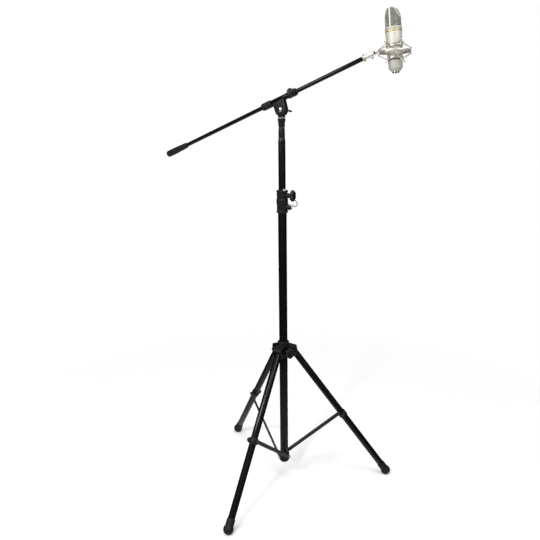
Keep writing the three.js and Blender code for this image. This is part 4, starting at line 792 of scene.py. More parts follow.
@dataclass
class MastBase:
    """The lower mast: end plug, tube, spreader collar, clutch and its lanyard."""

    body: str = "mast_base"
    radius: float = 17.5
    wall: float = 1.6
    bottom: float = 4.3
    top: float = 1178.0
    collar_bottom: float = 6.0
    collar_height: float = 32.0
    collar_radius: float = 23.0
    collar_rim: float = 2.0
    flat: float = 20.5
    bolt_height: float = 22.0
    bolt_seat_radius: float = 8.6
    brace_thickness: float = 4.0
    clutch_bottom: float = 1113.3
    clutch_height: float = 89.0
    clutch_wall: float = 3.95
    clutch_azimuth: float = 12.0
    rim_proud: float = 1.9
    rim_height: float = 5.0
    rim_end: float = 6.9
    top_rim_ease: float = 0.95
    band_proud: float = 1.6
    band_half: float = 9.0
    rib_spread: float = 9.0
    knob_height: float = 1181.6
    knob_boss_radius: float = 10.5
    knob_boss_reach: float = 27.5
    pin_height: float = 1143.0
    pin_droop: float = 18.0
    pin_boss_reach: float = 31.0
    pin_boss_radius: float = 10.5
    pin_boss_tip_radius: float = 9.2
    upper_radius: float = 14.3
    tab_start: float = -44.0
    tab_end: float = 32.0
    tab_rise: float = 6.5
    tab_low: float = 1.6
    lanyard_diameter: float = 3.0
    lanyard_steps: int = 8
    lanyard: tuple[tuple[float, float, float], ...] = (
        (18.4, 13.5, 3), (27, 14, 1), (41, 14.4, -5.5), (50, 14.4, -5.6), (56.5, 14.6, 0),
        (57.5, 15.5, 8), (53, 18.5, 14), (45.5, 22.5, 19), (36, 25.5, 25), (23, 26, 31),
        (14.1, 17, 33))

    @property
    def tab(self) -> Point2:
        """The azimuth of the middle of the bush's tab, and the degrees that it covers."""
        return (self.tab_end + self.tab_start) / 2, self.tab_end - self.tab_start

    def build(self) -> None:
        """Makes every piece of the lower mast."""
        self._plug()
        self._tube()
        self._collar()
        self._collar_bolts()
        self._clutch()
        self._bush()
        self._lanyard()

    def _plug(self) -> None:
        """The moulded end plug with a stepped rim."""
        spigot = self.radius - self.wall - GAP
        Workpiece().turn([
            (0, 0), (9, 0), (10, 0.8), (12, 0.8), (13, 0), (17, 0), (18, 1), (18, 4), (spigot, 4),
            (spigot, 26), (0, 26)]).finish(
            "end_plug_turned", STILL, RUBBER, self.body, "mast_end_plug")

    def _tube(self) -> None:
        """The lower tube, open at its top."""
        section = plain(self.radius - self.wall, self.radius, self.bottom, self.top)
        Workpiece().turn(section, closed=True).finish(
            "lower_tube_drawn", STILL, POWDER_COAT, self.body, "lower_tube")

    def _collar(self) -> None:
        """The spreader collar: a moulded ring with a flat for each brace."""
        low = self.collar_bottom
        high = low + self.collar_height
        inner = self.radius + GAP
        outer = self.collar_radius
        rim = self.collar_rim
        seat = self.flat - 0.6
        piece = Workpiece().turn([
            (inner, low), (outer - rim, low), (outer, low + rim), (outer, high - rim),
            (outer - rim, high), (inner, high)], closed=True, ease=0.8)
        for azimuth in LEG_AZIMUTHS:
            outward = around(1.0, azimuth + 90, 0.0)
            piece.trim(outward * self.flat, outward)
        for azimuth in LEG_AZIMUTHS:
            piece.turn(plain(0, self.bolt_seat_radius, seat - 2, seat + 0.5), ease=0.3,
                       place=self._bolt_frame(azimuth), segments=SMALL_ROUND)
        piece.finish("spreader_collar_moulded", STILL, MOULDED_NYLON, self.body, "spreader_collar")

    def _bolt_frame(self, azimuth: float) -> Matrix:
        """A brace bolt's frame, +Z outwards beside a leg's azimuth."""
        return about("Z", azimuth + 90) @ at(z=self.bolt_height) @ about("Y", 90)

    def _collar_bolts(self) -> None:
        """The shoulder bolts that the braces turn on."""
        face = self.flat + GAP + self.brace_thickness + GAP
        for number, azimuth in enumerate(LEG_AZIMUTHS, 1):
            piece = Workpiece()
            Fastener().shank(piece, (0, 0, self.radius + GAP), (0, 0, face + 1))
            Fastener().head(piece, at(z=face))
            piece.finish(f"brace_bolt_turned_{number}", self._bolt_frame(azimuth), ZINC, self.body,
                         f"brace_bolt_{number}")

    def _clutch(self) -> None:
        """The moulded clutch housing with its rims, band, seam ribs and two bosses."""
        low = self.clutch_bottom
        high = low + self.clutch_height
        middle = (low + high) / 2
        bore = self.radius + GAP
        wall = bore + self.clutch_wall
        rim = wall + self.rim_proud
        band = wall + self.band_proud
        half = self.band_half
        slope = self.band_proud
        piece = Workpiece().turn([
            (bore, low), (rim - self.rim_proud, low), (rim, low + self.rim_proud),
            (rim, low + self.rim_height), (wall, low + self.rim_end), (wall, middle - half - slope),
            (band, middle - half), (band, middle + half), (wall, middle + half + slope),
            (wall, high - self.rim_end), (rim, high - self.rim_height),
            (rim, high - self.top_rim_ease), (rim - self.top_rim_ease, high), (bore, high)],
            closed=True, ease=0.6)
        lip = self.upper_radius + 0.9
        middle, span = self.tab
        piece.sector([
            (lip, high + GAP), (self.radius + 1.6, high + GAP), (self.radius + 1.1, high + 1.7),
            (lip, high + 1.7)], middle + 180, 360 - span, steps=48)
        for azimuth in (self.clutch_azimuth + 90, self.clutch_azimuth - 90):
            for side in (-1, 1):
                piece.block((wall - 1, -1.0, low + 8), (wall + 0.6, 1.0, high - 8), ease=0.4,
                            place=about("Z", azimuth + side * self.rib_spread))
        turn = about("Z", self.clutch_azimuth)
        boss = self.knob_boss_radius
        reach = self.knob_boss_reach
        piece.turn([(0, 14), (boss + 2.5, 18), (boss, 21.5), (boss, reach), (5.2, reach),
                    (5.2, reach - 2), (0, reach - 2)], ease=0.8,
                   place=turn @ at(z=self.knob_height) @ about("Y", 90), segments=SMALL_ROUND)
        boss = self.pin_boss_radius
        tip = self.pin_boss_tip_radius
        reach = self.pin_boss_reach
        piece.turn([(0, 16), (boss, 16), (tip + 0.3, reach - 1.2), (tip - 0.6, reach), (3.4, reach),
                    (3.4, reach - 3), (0, reach - 3)], ease=0.6,
                   place=turn @ at(z=self.pin_height) @ about("Y", 90 + self.pin_droop),
                   segments=SMALL_ROUND)
        piece.finish("clutch_housing_moulded", STILL, MOULDED_NYLON, self.body,
                     "mast_clutch_housing")

    def _bush(self) -> None:
        """The pale slide bush, whose sloping tab shows over the clutch."""
        inner = self.upper_radius + GAP
        high = self.clutch_bottom + self.clutch_height + GAP
        lip = self.radius + 1.2
        piece = Workpiece().turn(
            plain(inner, self.radius, self.top + GAP, high), closed=True, ease=0.3)
        middle, span = self.tab
        piece.sector([
            (inner, high - 0.5), (lip + 0.4, high - 0.5), (lip, high + self.tab_rise),
            (inner, high + self.tab_rise)], middle, span, steps=16,
            drop=self.tab_rise - self.tab_low)
        piece.finish("slide_bush_moulded", STILL, BUSH_PLASTIC, self.body, "mast_clutch_bush")

    def _lanyard(self) -> None:
        """The braided cord that keeps the pull pin, from its boss to the knob's boss."""
        place = at(z=self.pin_height) @ about("Z", self.clutch_azimuth)
        knots = [Vector(point) for point in self.lanyard]
        mesh = swept(knots, self.lanyard_diameter / 2, place, closed=False, smooth=True)
        piece = dressed("pin_lanyard_braided", mesh, LANYARD_CORD, self.body, "pin_lanyard")
        path = soft_curve(knots, self.lanyard_steps)


@dataclass
class PullPin:
    """The drooping pull pin of the clutch with its split ring."""

    body: str = "pull_pin"
    azimuth: float = 12.0
    height: float = 1143.0
    droop: float = 18.0
    radius: float = 3.0
    tip: float = 16.33
    seat: float = 31.3
    head_radius: float = 9.2
    head_length: float = 5.5
    head_ease: float = 1.4
    flutes: int = 18
    tab_length: float = 6.0
    tab_half: float = 4.5
    tab_thickness: float = 3.2
    ring_radius: float = 11.0
    wire_radius: float = 0.9
    ring_rise: float = 57.0

    def build(self) -> None:
        """Turns the pin, cuts its fluted head and winds its ring."""
        turn = at(z=self.height) @ about("Z", self.azimuth)
        top = self.seat + self.head_length
        eye = top + self.tab_length / 2
        wide = self.head_radius
        half = self.tab_half
        piece = Workpiece().turn(
            plain(0, self.radius, self.tip, self.seat + 1), ease=0.3, segments=SHANK_ROUND)
        piece.turn([(0, self.seat), (wide, self.seat), (wide, top - self.head_ease),
                    (wide - self.head_ease, top), (0, top)], ease=0.6, segments=SMALL_ROUND)
        for spoke in evenly(self.flutes):
            piece.block((wide - 0.9, -0.5, self.seat + 0.6), (wide + 0.05, 0.5, top - 1.6),
                        ease=0.2, place=spoke)
        piece.plate([(-half, top - 2), (half, top - 2), (half, eye - 1.5),
                     *arc((0, eye - 1.5), half, 0, 180, 12)[1:-1], (-half, eye - 1.5)],
                    -self.tab_thickness / 2, self.tab_thickness / 2, ease=0.4)
        piece.finish("pull_pin_turned", turn @ about("Y", 90 + self.droop), KNOB_PLASTIC, self.body,
                     "safety_pin")
        rise = math.radians(self.ring_rise)
        tilt = math.radians(self.droop)
        centre = at(eye * math.cos(tilt) + self.ring_radius * math.cos(rise), 0,
                    -eye * math.sin(tilt) + self.ring_radius * math.sin(rise))
        wire = [(self.ring_radius + x, z) for x, z in arc((0, 0), self.wire_radius, 0, 330, 11)]
        Workpiece().turn(wire, ease=0, closed=True, segments=48).finish(
            "pull_ring_wound", turn @ centre @ about("Y", -self.ring_rise), ZINC, self.body,
            "safety_pin_ring")


# Tripod

@dataclass
class TripodHub:
    """The moulded hub with a hood over each leg's end."""

    body: str = "hub"
    bottom: float = 505.0
    top: float = 566.0
    sleeve_radius: float = 24.2
    bore: float = 17.8
    pivot_radius: float = 48.0
    pivot_height: float = 516.6
    hood_reach: float = 58.0
    roof: float = 550.0
    eave: float = 542.0
    ceiling: float = 531.4
    cheek_radius: float = 11.0
    room_half: float = 14.9
    hood_half: float = 21.1
    hood_round: float = 7.0
    boss_azimuth: float = -26.44
    boss_height: float = 526.0
    rim: float = 1.8

    def build(self) -> None:
        """Moulds the sleeve, the hoods and the boss, and fits the pivot bolts."""
        outer = self.sleeve_radius
        piece = Workpiece().turn([
            (self.bore, self.bottom), (outer, self.bottom), (outer, self.top - self.rim),
            (outer - self.rim, self.top), (self.bore, self.top)], closed=True, ease=1.0)
        for azimuth in LEG_AZIMUTHS:
            self._hood(piece, about("Z", azimuth) @ at(self.pivot_radius, 0, self.pivot_height))
        boss = about("Z", self.boss_azimuth) @ at(z=self.boss_height) @ about("Y", 90)
        piece.turn([(0, 18), (14, 18), (11.5, 26), (11.5, 36), (5.5, 36), (5.5, 34), (0, 34)],
                   ease=0.8, place=boss, segments=SMALL_ROUND)
        piece.finish("hub_moulded", STILL, MOULDED_NYLON, self.body, "hub_casting")
        for number, azimuth in enumerate(LEG_AZIMUTHS, 1):
            self._bolt(number, about("Z", azimuth) @ at(self.pivot_radius, 0, self.pivot_height))

    def _hood(self, piece: Workpiece, place: Matrix) -> None:
        """Two cheeks and a sloping roof about one leg's pivot.

        Args:
            piece: the workpiece that gets them.
            place: the pivot's frame, with X outwards and Y along the bolt.
        """
        back = -self.pivot_radius + 12
        front = self.hood_reach - self.pivot_radius
        roof = self.roof - self.pivot_height
        eave = self.eave - self.pivot_height
        ceiling = self.ceiling - self.pivot_height
        nose = arc((front - self.hood_round, eave - self.hood_round), self.hood_round, 0, 90, 6)
        shoulder = self.sleeve_radius - self.pivot_radius
        cheek = [(back, roof), (back, self.bottom - self.pivot_height),
                 *arc((0, 0), self.cheek_radius, -90, 0, 8), (front, ceiling), *nose,
                 (shoulder, roof)]
        for near, far in ((-self.hood_half, -self.room_half), (self.room_half, self.hood_half)):
            piece.plate(cheek, near, far, ease=1.3, place=place)
        lid = [(back, roof), (back, ceiling), (front, ceiling), *nose, (shoulder, roof)]
        piece.plate(lid, -self.hood_half, self.hood_half, ease=1.3, place=place)

    def _bolt(self, number: int, place: Matrix) -> None:
        """One leg's pivot bolt with its nut.

        Args:
            number: the leg's number.
            place: the pivot's frame.
        """
        face = self.hood_half + GAP
        piece = Workpiece()
        Fastener().shank(piece, (0, -face - 1, 0), (0, face + 4, 0))
        Fastener().head(piece, at(y=-face) @ about("X", 90))
        Fastener().nut(piece, at(y=face) @ about("X", -90))
        piece.finish(f"leg_pivot_bolt_turned_{number}", place, BLACKED_STEEL, self.body,
                     f"leg_pivot_bolt_{number}")


@dataclass
class TripodLeg:
    """One leg with its foot, clip and screw, hanging along -Z from the hub's pivot."""

    number: int
    azimuth: float
    pivot_radius: float = 48.0
    pivot_height: float = 516.6
    foot_circle: float = 453.6
    foot_height: float = -54.8
    floor: float = -74.5
    radius: float = 14.3
    wall: float = 1.6
    top: float = 5.0
    ball_radius: float = 20.5
    ball_seat: float = 10.25
    ball_step: float = 6.0
    sleeve_radius: float = 16.8
    sleeve_length: float = 30.0
    clip_distance: float = 360.0
    clip_half: float = 12.0
    clip_outer: float = 17.5
    lug_radius: float = 9.5
    lug_foot: float = 2.4
    near_lug: float = 20.5
    far_lug: float = 24.5

    @property
    def body(self) -> str:
        """The leg's own body."""
        return f"leg_{self.number}"

    @property
    def length(self) -> float:
        """From the pivot to the middle of the foot's ball."""
        return math.hypot(
            self.foot_circle - self.pivot_radius, self.pivot_height - self.foot_height)

    @property
    def splay(self) -> float:
        """The leg's lean from the mast, in degrees."""
        return math.degrees(
            math.atan2(self.foot_circle - self.pivot_radius, self.pivot_height - self.foot_height))

    @property
    def place(self) -> Matrix:
        """The leg's frame in the part's frame."""
        pivot = at(self.pivot_radius, 0, self.pivot_height)
        return about("Z", self.azimuth) @ pivot @ about("Y", -self.splay)

    def build(self) -> None:
        """Makes the leg's pieces."""
        self._tube()
        self._foot()
        self._clip()
        self._screw()

    def _tube(self) -> None:
        """The leg's tube."""
        low = -(self.length - self.ball_seat)
        section = plain(self.radius - self.wall, self.radius, low, self.top)
        Workpiece().turn(section, closed=True).finish(
            f"leg_tube_drawn_{self.number}", self.place, POWDER_COAT, self.body,
            f"leg_tube_{self.number}")

    def _foot(self) -> None:
        """The rubber foot: a sleeve with a bead over a ball that is flat on the floor."""
        low = -self.length
        high = low + self.ball_seat + self.sleeve_length
        bead = high - 4
        wide = self.sleeve_radius
        ball = self.ball_radius
        bore = self.radius + GAP
        start = math.degrees(math.asin(wide / ball))
        turns = [math.radians(self.ball_step * step)
                 for step in range(1, 1 + int((180 - start) / self.ball_step))]
        curve = [(ball * math.sin(a), low - ball * math.cos(a)) for a in turns]
        piece = Workpiece().turn([
            (0, low - ball), *curve, (wide, curve[-1][1] + 2.5), (wide, bead - 2), (wide, bead),
            (wide - 0.6, high), (bore, high), (bore, high - 6), (0, high - 6)], ease=0.5)
        down = self.place.to_3x3().inverted() @ Vector((0, 0, -1))
        touch = self.place.inverted() @ around(self.foot_circle, self.azimuth, self.floor)
        piece.trim(touch, down)
        piece.finish(f"leg_foot_moulded_{self.number}", self.place, RUBBER, self.body,
                     f"leg_foot_{self.number}")

    def _clip(self) -> None:
        """The moulded clip: a saddle with a rounded lug on each side."""
        bore = self.radius + GAP
        half = self.clip_half
        lug = self.lug_radius
        piece = Workpiece().turn(plain(bore, self.clip_outer, -half, half), closed=True, ease=1.0)
        for end, side in ((self.near_lug, 1), (self.far_lug, -1)):
            near, far = sorted((side * bore, side * (bore + self.lug_foot)))
            piece.bar((0, side * bore, 0), (0, side * end, 0), lug, ease=1.2)
            piece.block((-lug, near, -half + 0.5), (lug, far, half - 0.5), ease=1.0)
        piece.finish(f"leg_clip_moulded_{self.number}", self.place @ at(z=-self.clip_distance),
                     MOULDED_NYLON, self.body, f"leg_clip_{self.number}")

    def _screw(self) -> None:
        """The screw through the clip."""
        face = -self.far_lug - GAP
        piece = Workpiece()
        Fastener().shank(piece, (0, face - 1, 0), (0, self.near_lug, 0))
        Fastener().head(piece, at(y=face) @ about("X", 90))
        piece.finish(f"leg_clip_screw_turned_{self.number}", self.place @ at(z=-self.clip_distance),
                     DARK_ZINC, self.body, f"leg_clip_screw_{self.number}")


@dataclass
class Brace:
    """A pressed channel bar from the mast's foot, at X = 0, to the leg's clip."""

    number: int
    azimuth: float
    pivot_height: float = 22.0
    rise: float = 38.1
    length: float = 325.8
    near: float = 20.8
    far: float = 24.8
    half: float = 8.0
    web: float = 1.8
    flange: float = 1.8
    pad: float = 17.0

    def build(self) -> None:
        """Presses the channel and heads the rivet at its outer eye."""
        half = self.half
        inner = self.far - self.web
        back = inner + 0.5
        end = self.length - self.pad
        outer_round = arc((self.length, 0), half, -90, 90)
        inner_round = arc((0, 0), half, 90, 270)
        piece = Workpiece().plate([*outer_round, *inner_round], inner, self.far, ease=0.6)
        piece.plate([*inner_round, (self.pad, -half), (self.pad + 4, -3), (self.pad + 4, 3),
                     (self.pad, half)], self.near, back, ease=0.4)
        piece.plate([*outer_round, (end, half), (end - 4, 3), (end - 4, -3), (end, -half)],
                    self.near, back, ease=0.4)
        for side in (-1, 1):
            low, high = sorted((side * half, side * (half - self.flange)))
            piece.block((self.pad - 2, self.near, low), (end + 2, back, high), ease=0.5)
        Fastener().head(piece, at(self.length, self.far, 0) @ about("X", -90))
        place = about("Z", self.azimuth) @ at(z=self.pivot_height) @ about("Y", -self.rise)
        piece.finish(f"brace_pressed_{self.number}", place, BRACE_PAINT,
                     f"brace_bar_{self.number}", f"brace_{self.number}")


# Mast head

@dataclass
class UpperMast:
    """The upper tube and what is stacked on it under the swivel."""

    body: str = "upper_mast"
    radius: float = 14.3
    wall: float = 1.6
    bottom: float = 434.4
    top: float = 1394.4
    reducer_top: float = 1406.3
    sleeve_radius: float = 12.7
    sleeve_height: float = 34.0
    groove_radius: float = 11.7
    groove_height: float = 7.0
    spigot_length: float = 24.0
    stud_radius: float = 6.0
    stud_engagement: float = 16.0
    cone_bottom: float = 1447.9
    cone_height: float = 32.2
    cone_bottom_radius: float = 12.8
    cone_top_radius: float = 15.5
    cone_taper: float = 14.0
    cone_lip: float = 4.0

    def build(self) -> None:
        """Makes the tube, the reducer, the sleeve and the cone."""
        self._tube()
        self._reducer()
        self._sleeve()
        self._cone()

    def _tube(self) -> None:
        """The upper tube."""
        section = plain(self.radius - self.wall, self.radius, self.bottom, self.top)
        Workpiece().turn(section, closed=True).finish(
            "upper_tube_drawn", STILL, POWDER_COAT, self.body, "upper_tube")

    def _reducer(self) -> None:
        """The glossy reducer with the stud that the sleeve and the cone sit on."""
        seat = self.top + GAP
        spigot = self.radius - self.wall - GAP
        stud_top = self.cone_bottom + self.stud_engagement
        Workpiece().turn([
            (0, seat - self.spigot_length), (spigot, seat - self.spigot_length), (spigot, seat),
            (self.radius, seat), (self.radius, seat + 1.2),
            (self.sleeve_radius, self.reducer_top - 1.2), (self.sleeve_radius, self.reducer_top),
            (self.stud_radius, self.reducer_top), (self.stud_radius, stud_top), (0, stud_top)],
            ease=0.5).finish("reducer_turned", STILL, GLOSS_BLACK, self.body, "tube_reducer")

    def _sleeve(self) -> None:
        """The turned sleeve with a fine groove and a neck under the cone."""
        low = self.reducer_top + GAP
        high = low + self.sleeve_height
        core = self.stud_radius + GAP
        wide = self.sleeve_radius
        neck = high + self.groove_height
        Workpiece().turn([
            (core, low), (wide, low), (wide, high - 8), (wide - 0.5, high - 7.4),
            (wide - 0.5, high - 6.2), (wide, high - 5.6), (wide, high), (self.groove_radius, high),
            (self.groove_radius, neck), (core, neck)], closed=True, ease=0.4).finish(
            "base_sleeve_turned", STILL, TURNED_BLACK, self.body, "base_sleeve")

    def _cone(self) -> None:
        """The moulded cone under the swivel's washer."""
        low = self.cone_bottom
        top = low + self.cone_height
        lip = top - self.cone_lip
        core = self.stud_radius + GAP
        Workpiece().turn([
            (core, low), (self.cone_bottom_radius, low),
            (self.cone_bottom_radius, lip - self.cone_taper), (self.cone_top_radius, lip),
            (self.cone_top_radius, top), (core, top)], closed=True, ease=2.0).finish(
            "swivel_cone_moulded", STILL, MOULDED_NYLON, self.body, "swivel_cone")


@dataclass
class SwivelHead:
    """The bright washer and the knuckle whose tongue stands between the bracket's cheeks."""

    body: str = "swivel"
    washer_bottom: float = 1480.4
    washer_radius: float = 13.3
    washer_height: float = 4.2
    washer_edge: float = 0.9
    pivot_height: float = 1513.1
    base_radius: float = 16.0
    base_height: float = 2.7
    base_below: float = 28.2
    tongue_radius: float = 21.0
    tongue_half: float = 4.4

    def build(self) -> None:
        """Turns the washer and casts the knuckle."""
        low = self.washer_bottom
        high = low + self.washer_height
        wide = self.washer_radius
        edge = self.washer_edge
        Workpiece().turn([(0, low), (wide - edge, low), (wide, low + edge), (wide, high - edge),
                          (wide - edge, high), (0, high)], ease=0.5).finish(
            "swivel_washer_turned", STILL, ZINC, self.body, "swivel_washer")
        bottom = -self.base_below
        half = self.tongue_half
        width = math.sqrt(self.base_radius ** 2 - (2 * half) ** 2)
        piece = Workpiece().turn(
            plain(0, self.base_radius, bottom, bottom + self.base_height), ease=0.9)
        piece.plate([(-width, bottom + 1), (width, bottom + 1),
                     *arc((0, 0), self.tongue_radius, -50, 230, 40)], -half, half, ease=0.6)
        piece.finish("swivel_knuckle_cast", at(z=self.pivot_height), MOULDED_NYLON, self.body,
                     "swivel_knuckle")


# Boom

@dataclass
class BoomFrame:
    """The tilted frames that the boom's pieces are built in."""

    pivot_height: float = 1513.1
    tilt: float = 20.28
    rise: float = 38.4

    @property
    def head(self) -> Matrix:
        """About the tilt pivot, +X along the boom."""
        return at(z=self.pivot_height) @ about("Y", -self.tilt)

    @property
    def boom(self) -> Matrix:
        """On the boom's own axis."""
        return self.head @ at(z=self.rise)


@dataclass
class BoomHead:
    """The fork bracket, its bolt and handle, and the clamp tube with its two clutches."""

    frames: BoomFrame = field(default_factory=BoomFrame)
    body: str = "boom_head"
    cheek_radius: float = 25.0
    half: float = 10.0
    slot_half: float = 4.7
    rear: float = 25.5
    front: float = 28.0
    slot_top: float = 22.0
    rise: float = 38.4
    clamp_radius: float = 11.1
    clamp_rear: float = -40.0
    clamp_front: float = 52.0
    bore: float = 8.25
    clutch_radius: float = 14.5
    clutch_overlap: float = 6.0
    rear_clutch: float = 45.5
    front_clutch: float = 40.5
    knob_place: float = 71.0
    knob_turn: float = 8.0
    knob_radius: float = 14.0
    knob_thickness: float = 9.0
    knob_seat: float = 18.8
    bar_turn: float = -12.0
    bar_radius: float = 3.5
    bar_half: float = 31.0
    handle_hub_radius: float = 7.5
    handle_hub_length: float = 17.0
    groove_share: float = 0.42
    flutes: int = 24

    def build(self) -> None:
        """Makes the head's pieces."""
        self._bracket()
        self._bolt()
        self._handle()
        self._clamp_tube()
        self._clutches()
        self._knob()

    def _bracket(self) -> None:
        """Two cast cheeks under a saddle."""
        top = self.rise - 2.0
        half = self.half
        rear = -self.rear
        piece = Workpiece()
        cheek = [*arc((0, 0), self.cheek_radius, 180, 360, 36), (self.front, top), (rear, top)]
        for near, far in ((-half, -self.slot_half), (self.slot_half, half)):
            piece.plate(cheek, near, far, ease=1.0)
        slope = (self.front - self.cheek_radius) * self.slot_top / self.rise
        inset = 0.4
        saddle = [(rear + inset, self.slot_top), (self.cheek_radius + slope - inset, self.slot_top),
                  (self.front - inset, top), (rear + inset, top)]
        piece.plate(saddle, -half + inset, half - inset, ease=0.5)
        piece.plate([(rear, top - 3), (self.front, top - 3), (self.front, top + 0.8),
                     (rear, top + 0.8)], -half, half, ease=0.8)
        for side in (-1, 1):
            seat = side * half
            piece.bar((0, seat - side, 0), (0, seat + side * 0.15, 0), 10.5, ease=0.15)
        piece.finish("boom_bracket_cast", self.frames.head, MOULDED_NYLON, self.body,
                     "boom_bracket")

    def _bolt(self) -> None:
        """The chrome pivot bolt with its polished dome."""
        seat = self.half + GAP
        turns = [math.radians(15 * step) for step in range(1, 6)]
        dome = [(8.6 * math.cos(a), 1.5 + 3.4 * math.sin(a)) for a in turns]
        piece = Workpiece().turn([(0, 0), (8.75, 0), (8.75, 1.4), *dome, (0, 4.95)], ease=0.3,
                                 place=at(y=-seat) @ about("X", 90))
        Fastener().shank(piece, (0, -seat - 1, 0), (0, self.half + self.handle_hub_length / 2, 0))
        piece.finish("tilt_pivot_bolt_turned", self.frames.head, CHROME, self.body,
                     "tilt_pivot_bolt")

    def _handle(self) -> None:
        """The tee handle on the far side."""
        seat = self.half + GAP
        end = seat + self.handle_hub_length
        hub = self.handle_hub_radius
        thin = self.bar_radius
        half = self.bar_half
        piece = Workpiece().turn([
            (4.3, seat), (hub, seat), (hub, end - 5), (hub - 1.2, end - 1), (hub - 3, end),
            (0, end), (0, seat + 9), (4.3, seat + 8.8)], ease=0.7, place=about("X", -90),
            segments=SMALL_ROUND)
        piece.turn([
            (0, -half - 4.6), (3.0, -half - 3.6), (4.0, -half), (3.8, -half + 4), (thin, -half + 9),
            (thin - 0.4, 0), (thin, half - 9), (3.8, half - 4), (4.0, half), (3.0, half + 3.6),
            (0, half + 4.6)], ease=1.4, place=at(y=end - 2 * thin) @ about("Y", 90),
            segments=SMALL_ROUND)
        place = self.frames.head @ about("Y", self.frames.tilt - self.bar_turn)
        piece.finish("tilt_handle_moulded", place, KNOB_PLASTIC, "tilt_clamp", "tilt_handle")

    def _clamp_tube(self) -> None:
        """The tube that the boom runs through."""
        section = plain(self.bore, self.clamp_radius, self.clamp_rear, self.clamp_front)
        Workpiece().turn(section, closed=True).finish(
            "clamp_tube_drawn", self.frames.boom @ about("Y", 90), POWDER_COAT, self.body,
            "boom_clamp_tube")

    def _clutch_profile(self, length: float) -> list[Point2]:
        """A clutch's section from its open end to its closed end.

        Args:
            length: the clutch's length.

        Returns:
            The section's points.
        """
        outer = self.clutch_radius
        bore = self.clamp_radius + GAP
        step = self.clutch_overlap + GAP
        groove = length * self.groove_share
        return [(bore, 0), (outer - 3, 0), (outer, 3), (outer, groove), (outer - 0.5, groove + 1),
                (outer - 0.5, groove + 2.4), (outer, groove + 3.4), (outer, length - 6),
                (outer - 3, length), (self.bore, length), (self.bore, step), (bore, step)]

    def _clutches(self) -> None:
        """The moulded clutches, the front one with the knob's boss."""
        rear = Workpiece().turn(self._clutch_profile(self.rear_clutch), closed=True, ease=0.8,
                                place=at(self.clamp_rear + self.clutch_overlap) @ about("Y", -90))
        rear.finish("rear_clutch_moulded", self.frames.boom, MOULDED_NYLON, self.body,
                    "boom_rear_clutch")
        front = Workpiece().turn(self._clutch_profile(self.front_clutch), closed=True, ease=0.8,
                                 place=at(self.clamp_front - self.clutch_overlap) @ about("Y", 90))
        front.turn(
            [(0, 10), (9, 10), (7, 15.5), (7, 18.5), (0, 18.5)], ease=0.6,
            place=at(self.knob_place) @ about("X", 90 - self.knob_turn), segments=SMALL_ROUND)
        front.finish("front_clutch_moulded", self.frames.boom, MOULDED_NYLON, self.body,
                     "boom_front_clutch")

    def _knob(self) -> None:
        """The round lock knob with a fluted edge and a dished face."""
        seat = self.knob_seat
        top = seat + self.knob_thickness
        wide = self.knob_radius
        piece = Workpiece().turn([
            (0, seat), (wide - 1.5, seat), (wide, seat + 1.5), (wide, top - 3), (wide - 3, top),
            (wide - 5.5, top), (wide - 7, top - 0.7), (0, top - 0.7)], ease=0.9)
        for spoke in evenly(self.flutes):
            piece.block((wide - 1.2, -0.7, seat + 1.8), (wide + 0.02, 0.7, top - 3.4),
                        ease=0.3, place=spoke)
        piece.bar((0, 0, self.bore), (0, 0, seat + 3), 3.0, segments=SHANK_ROUND)
        place = self.frames.boom @ at(self.knob_place) @ about("X", 90 - self.knob_turn)
        piece.finish("boom_knob_moulded", place, KNOB_PLASTIC, "boom_knob", "boom_lock_knob")


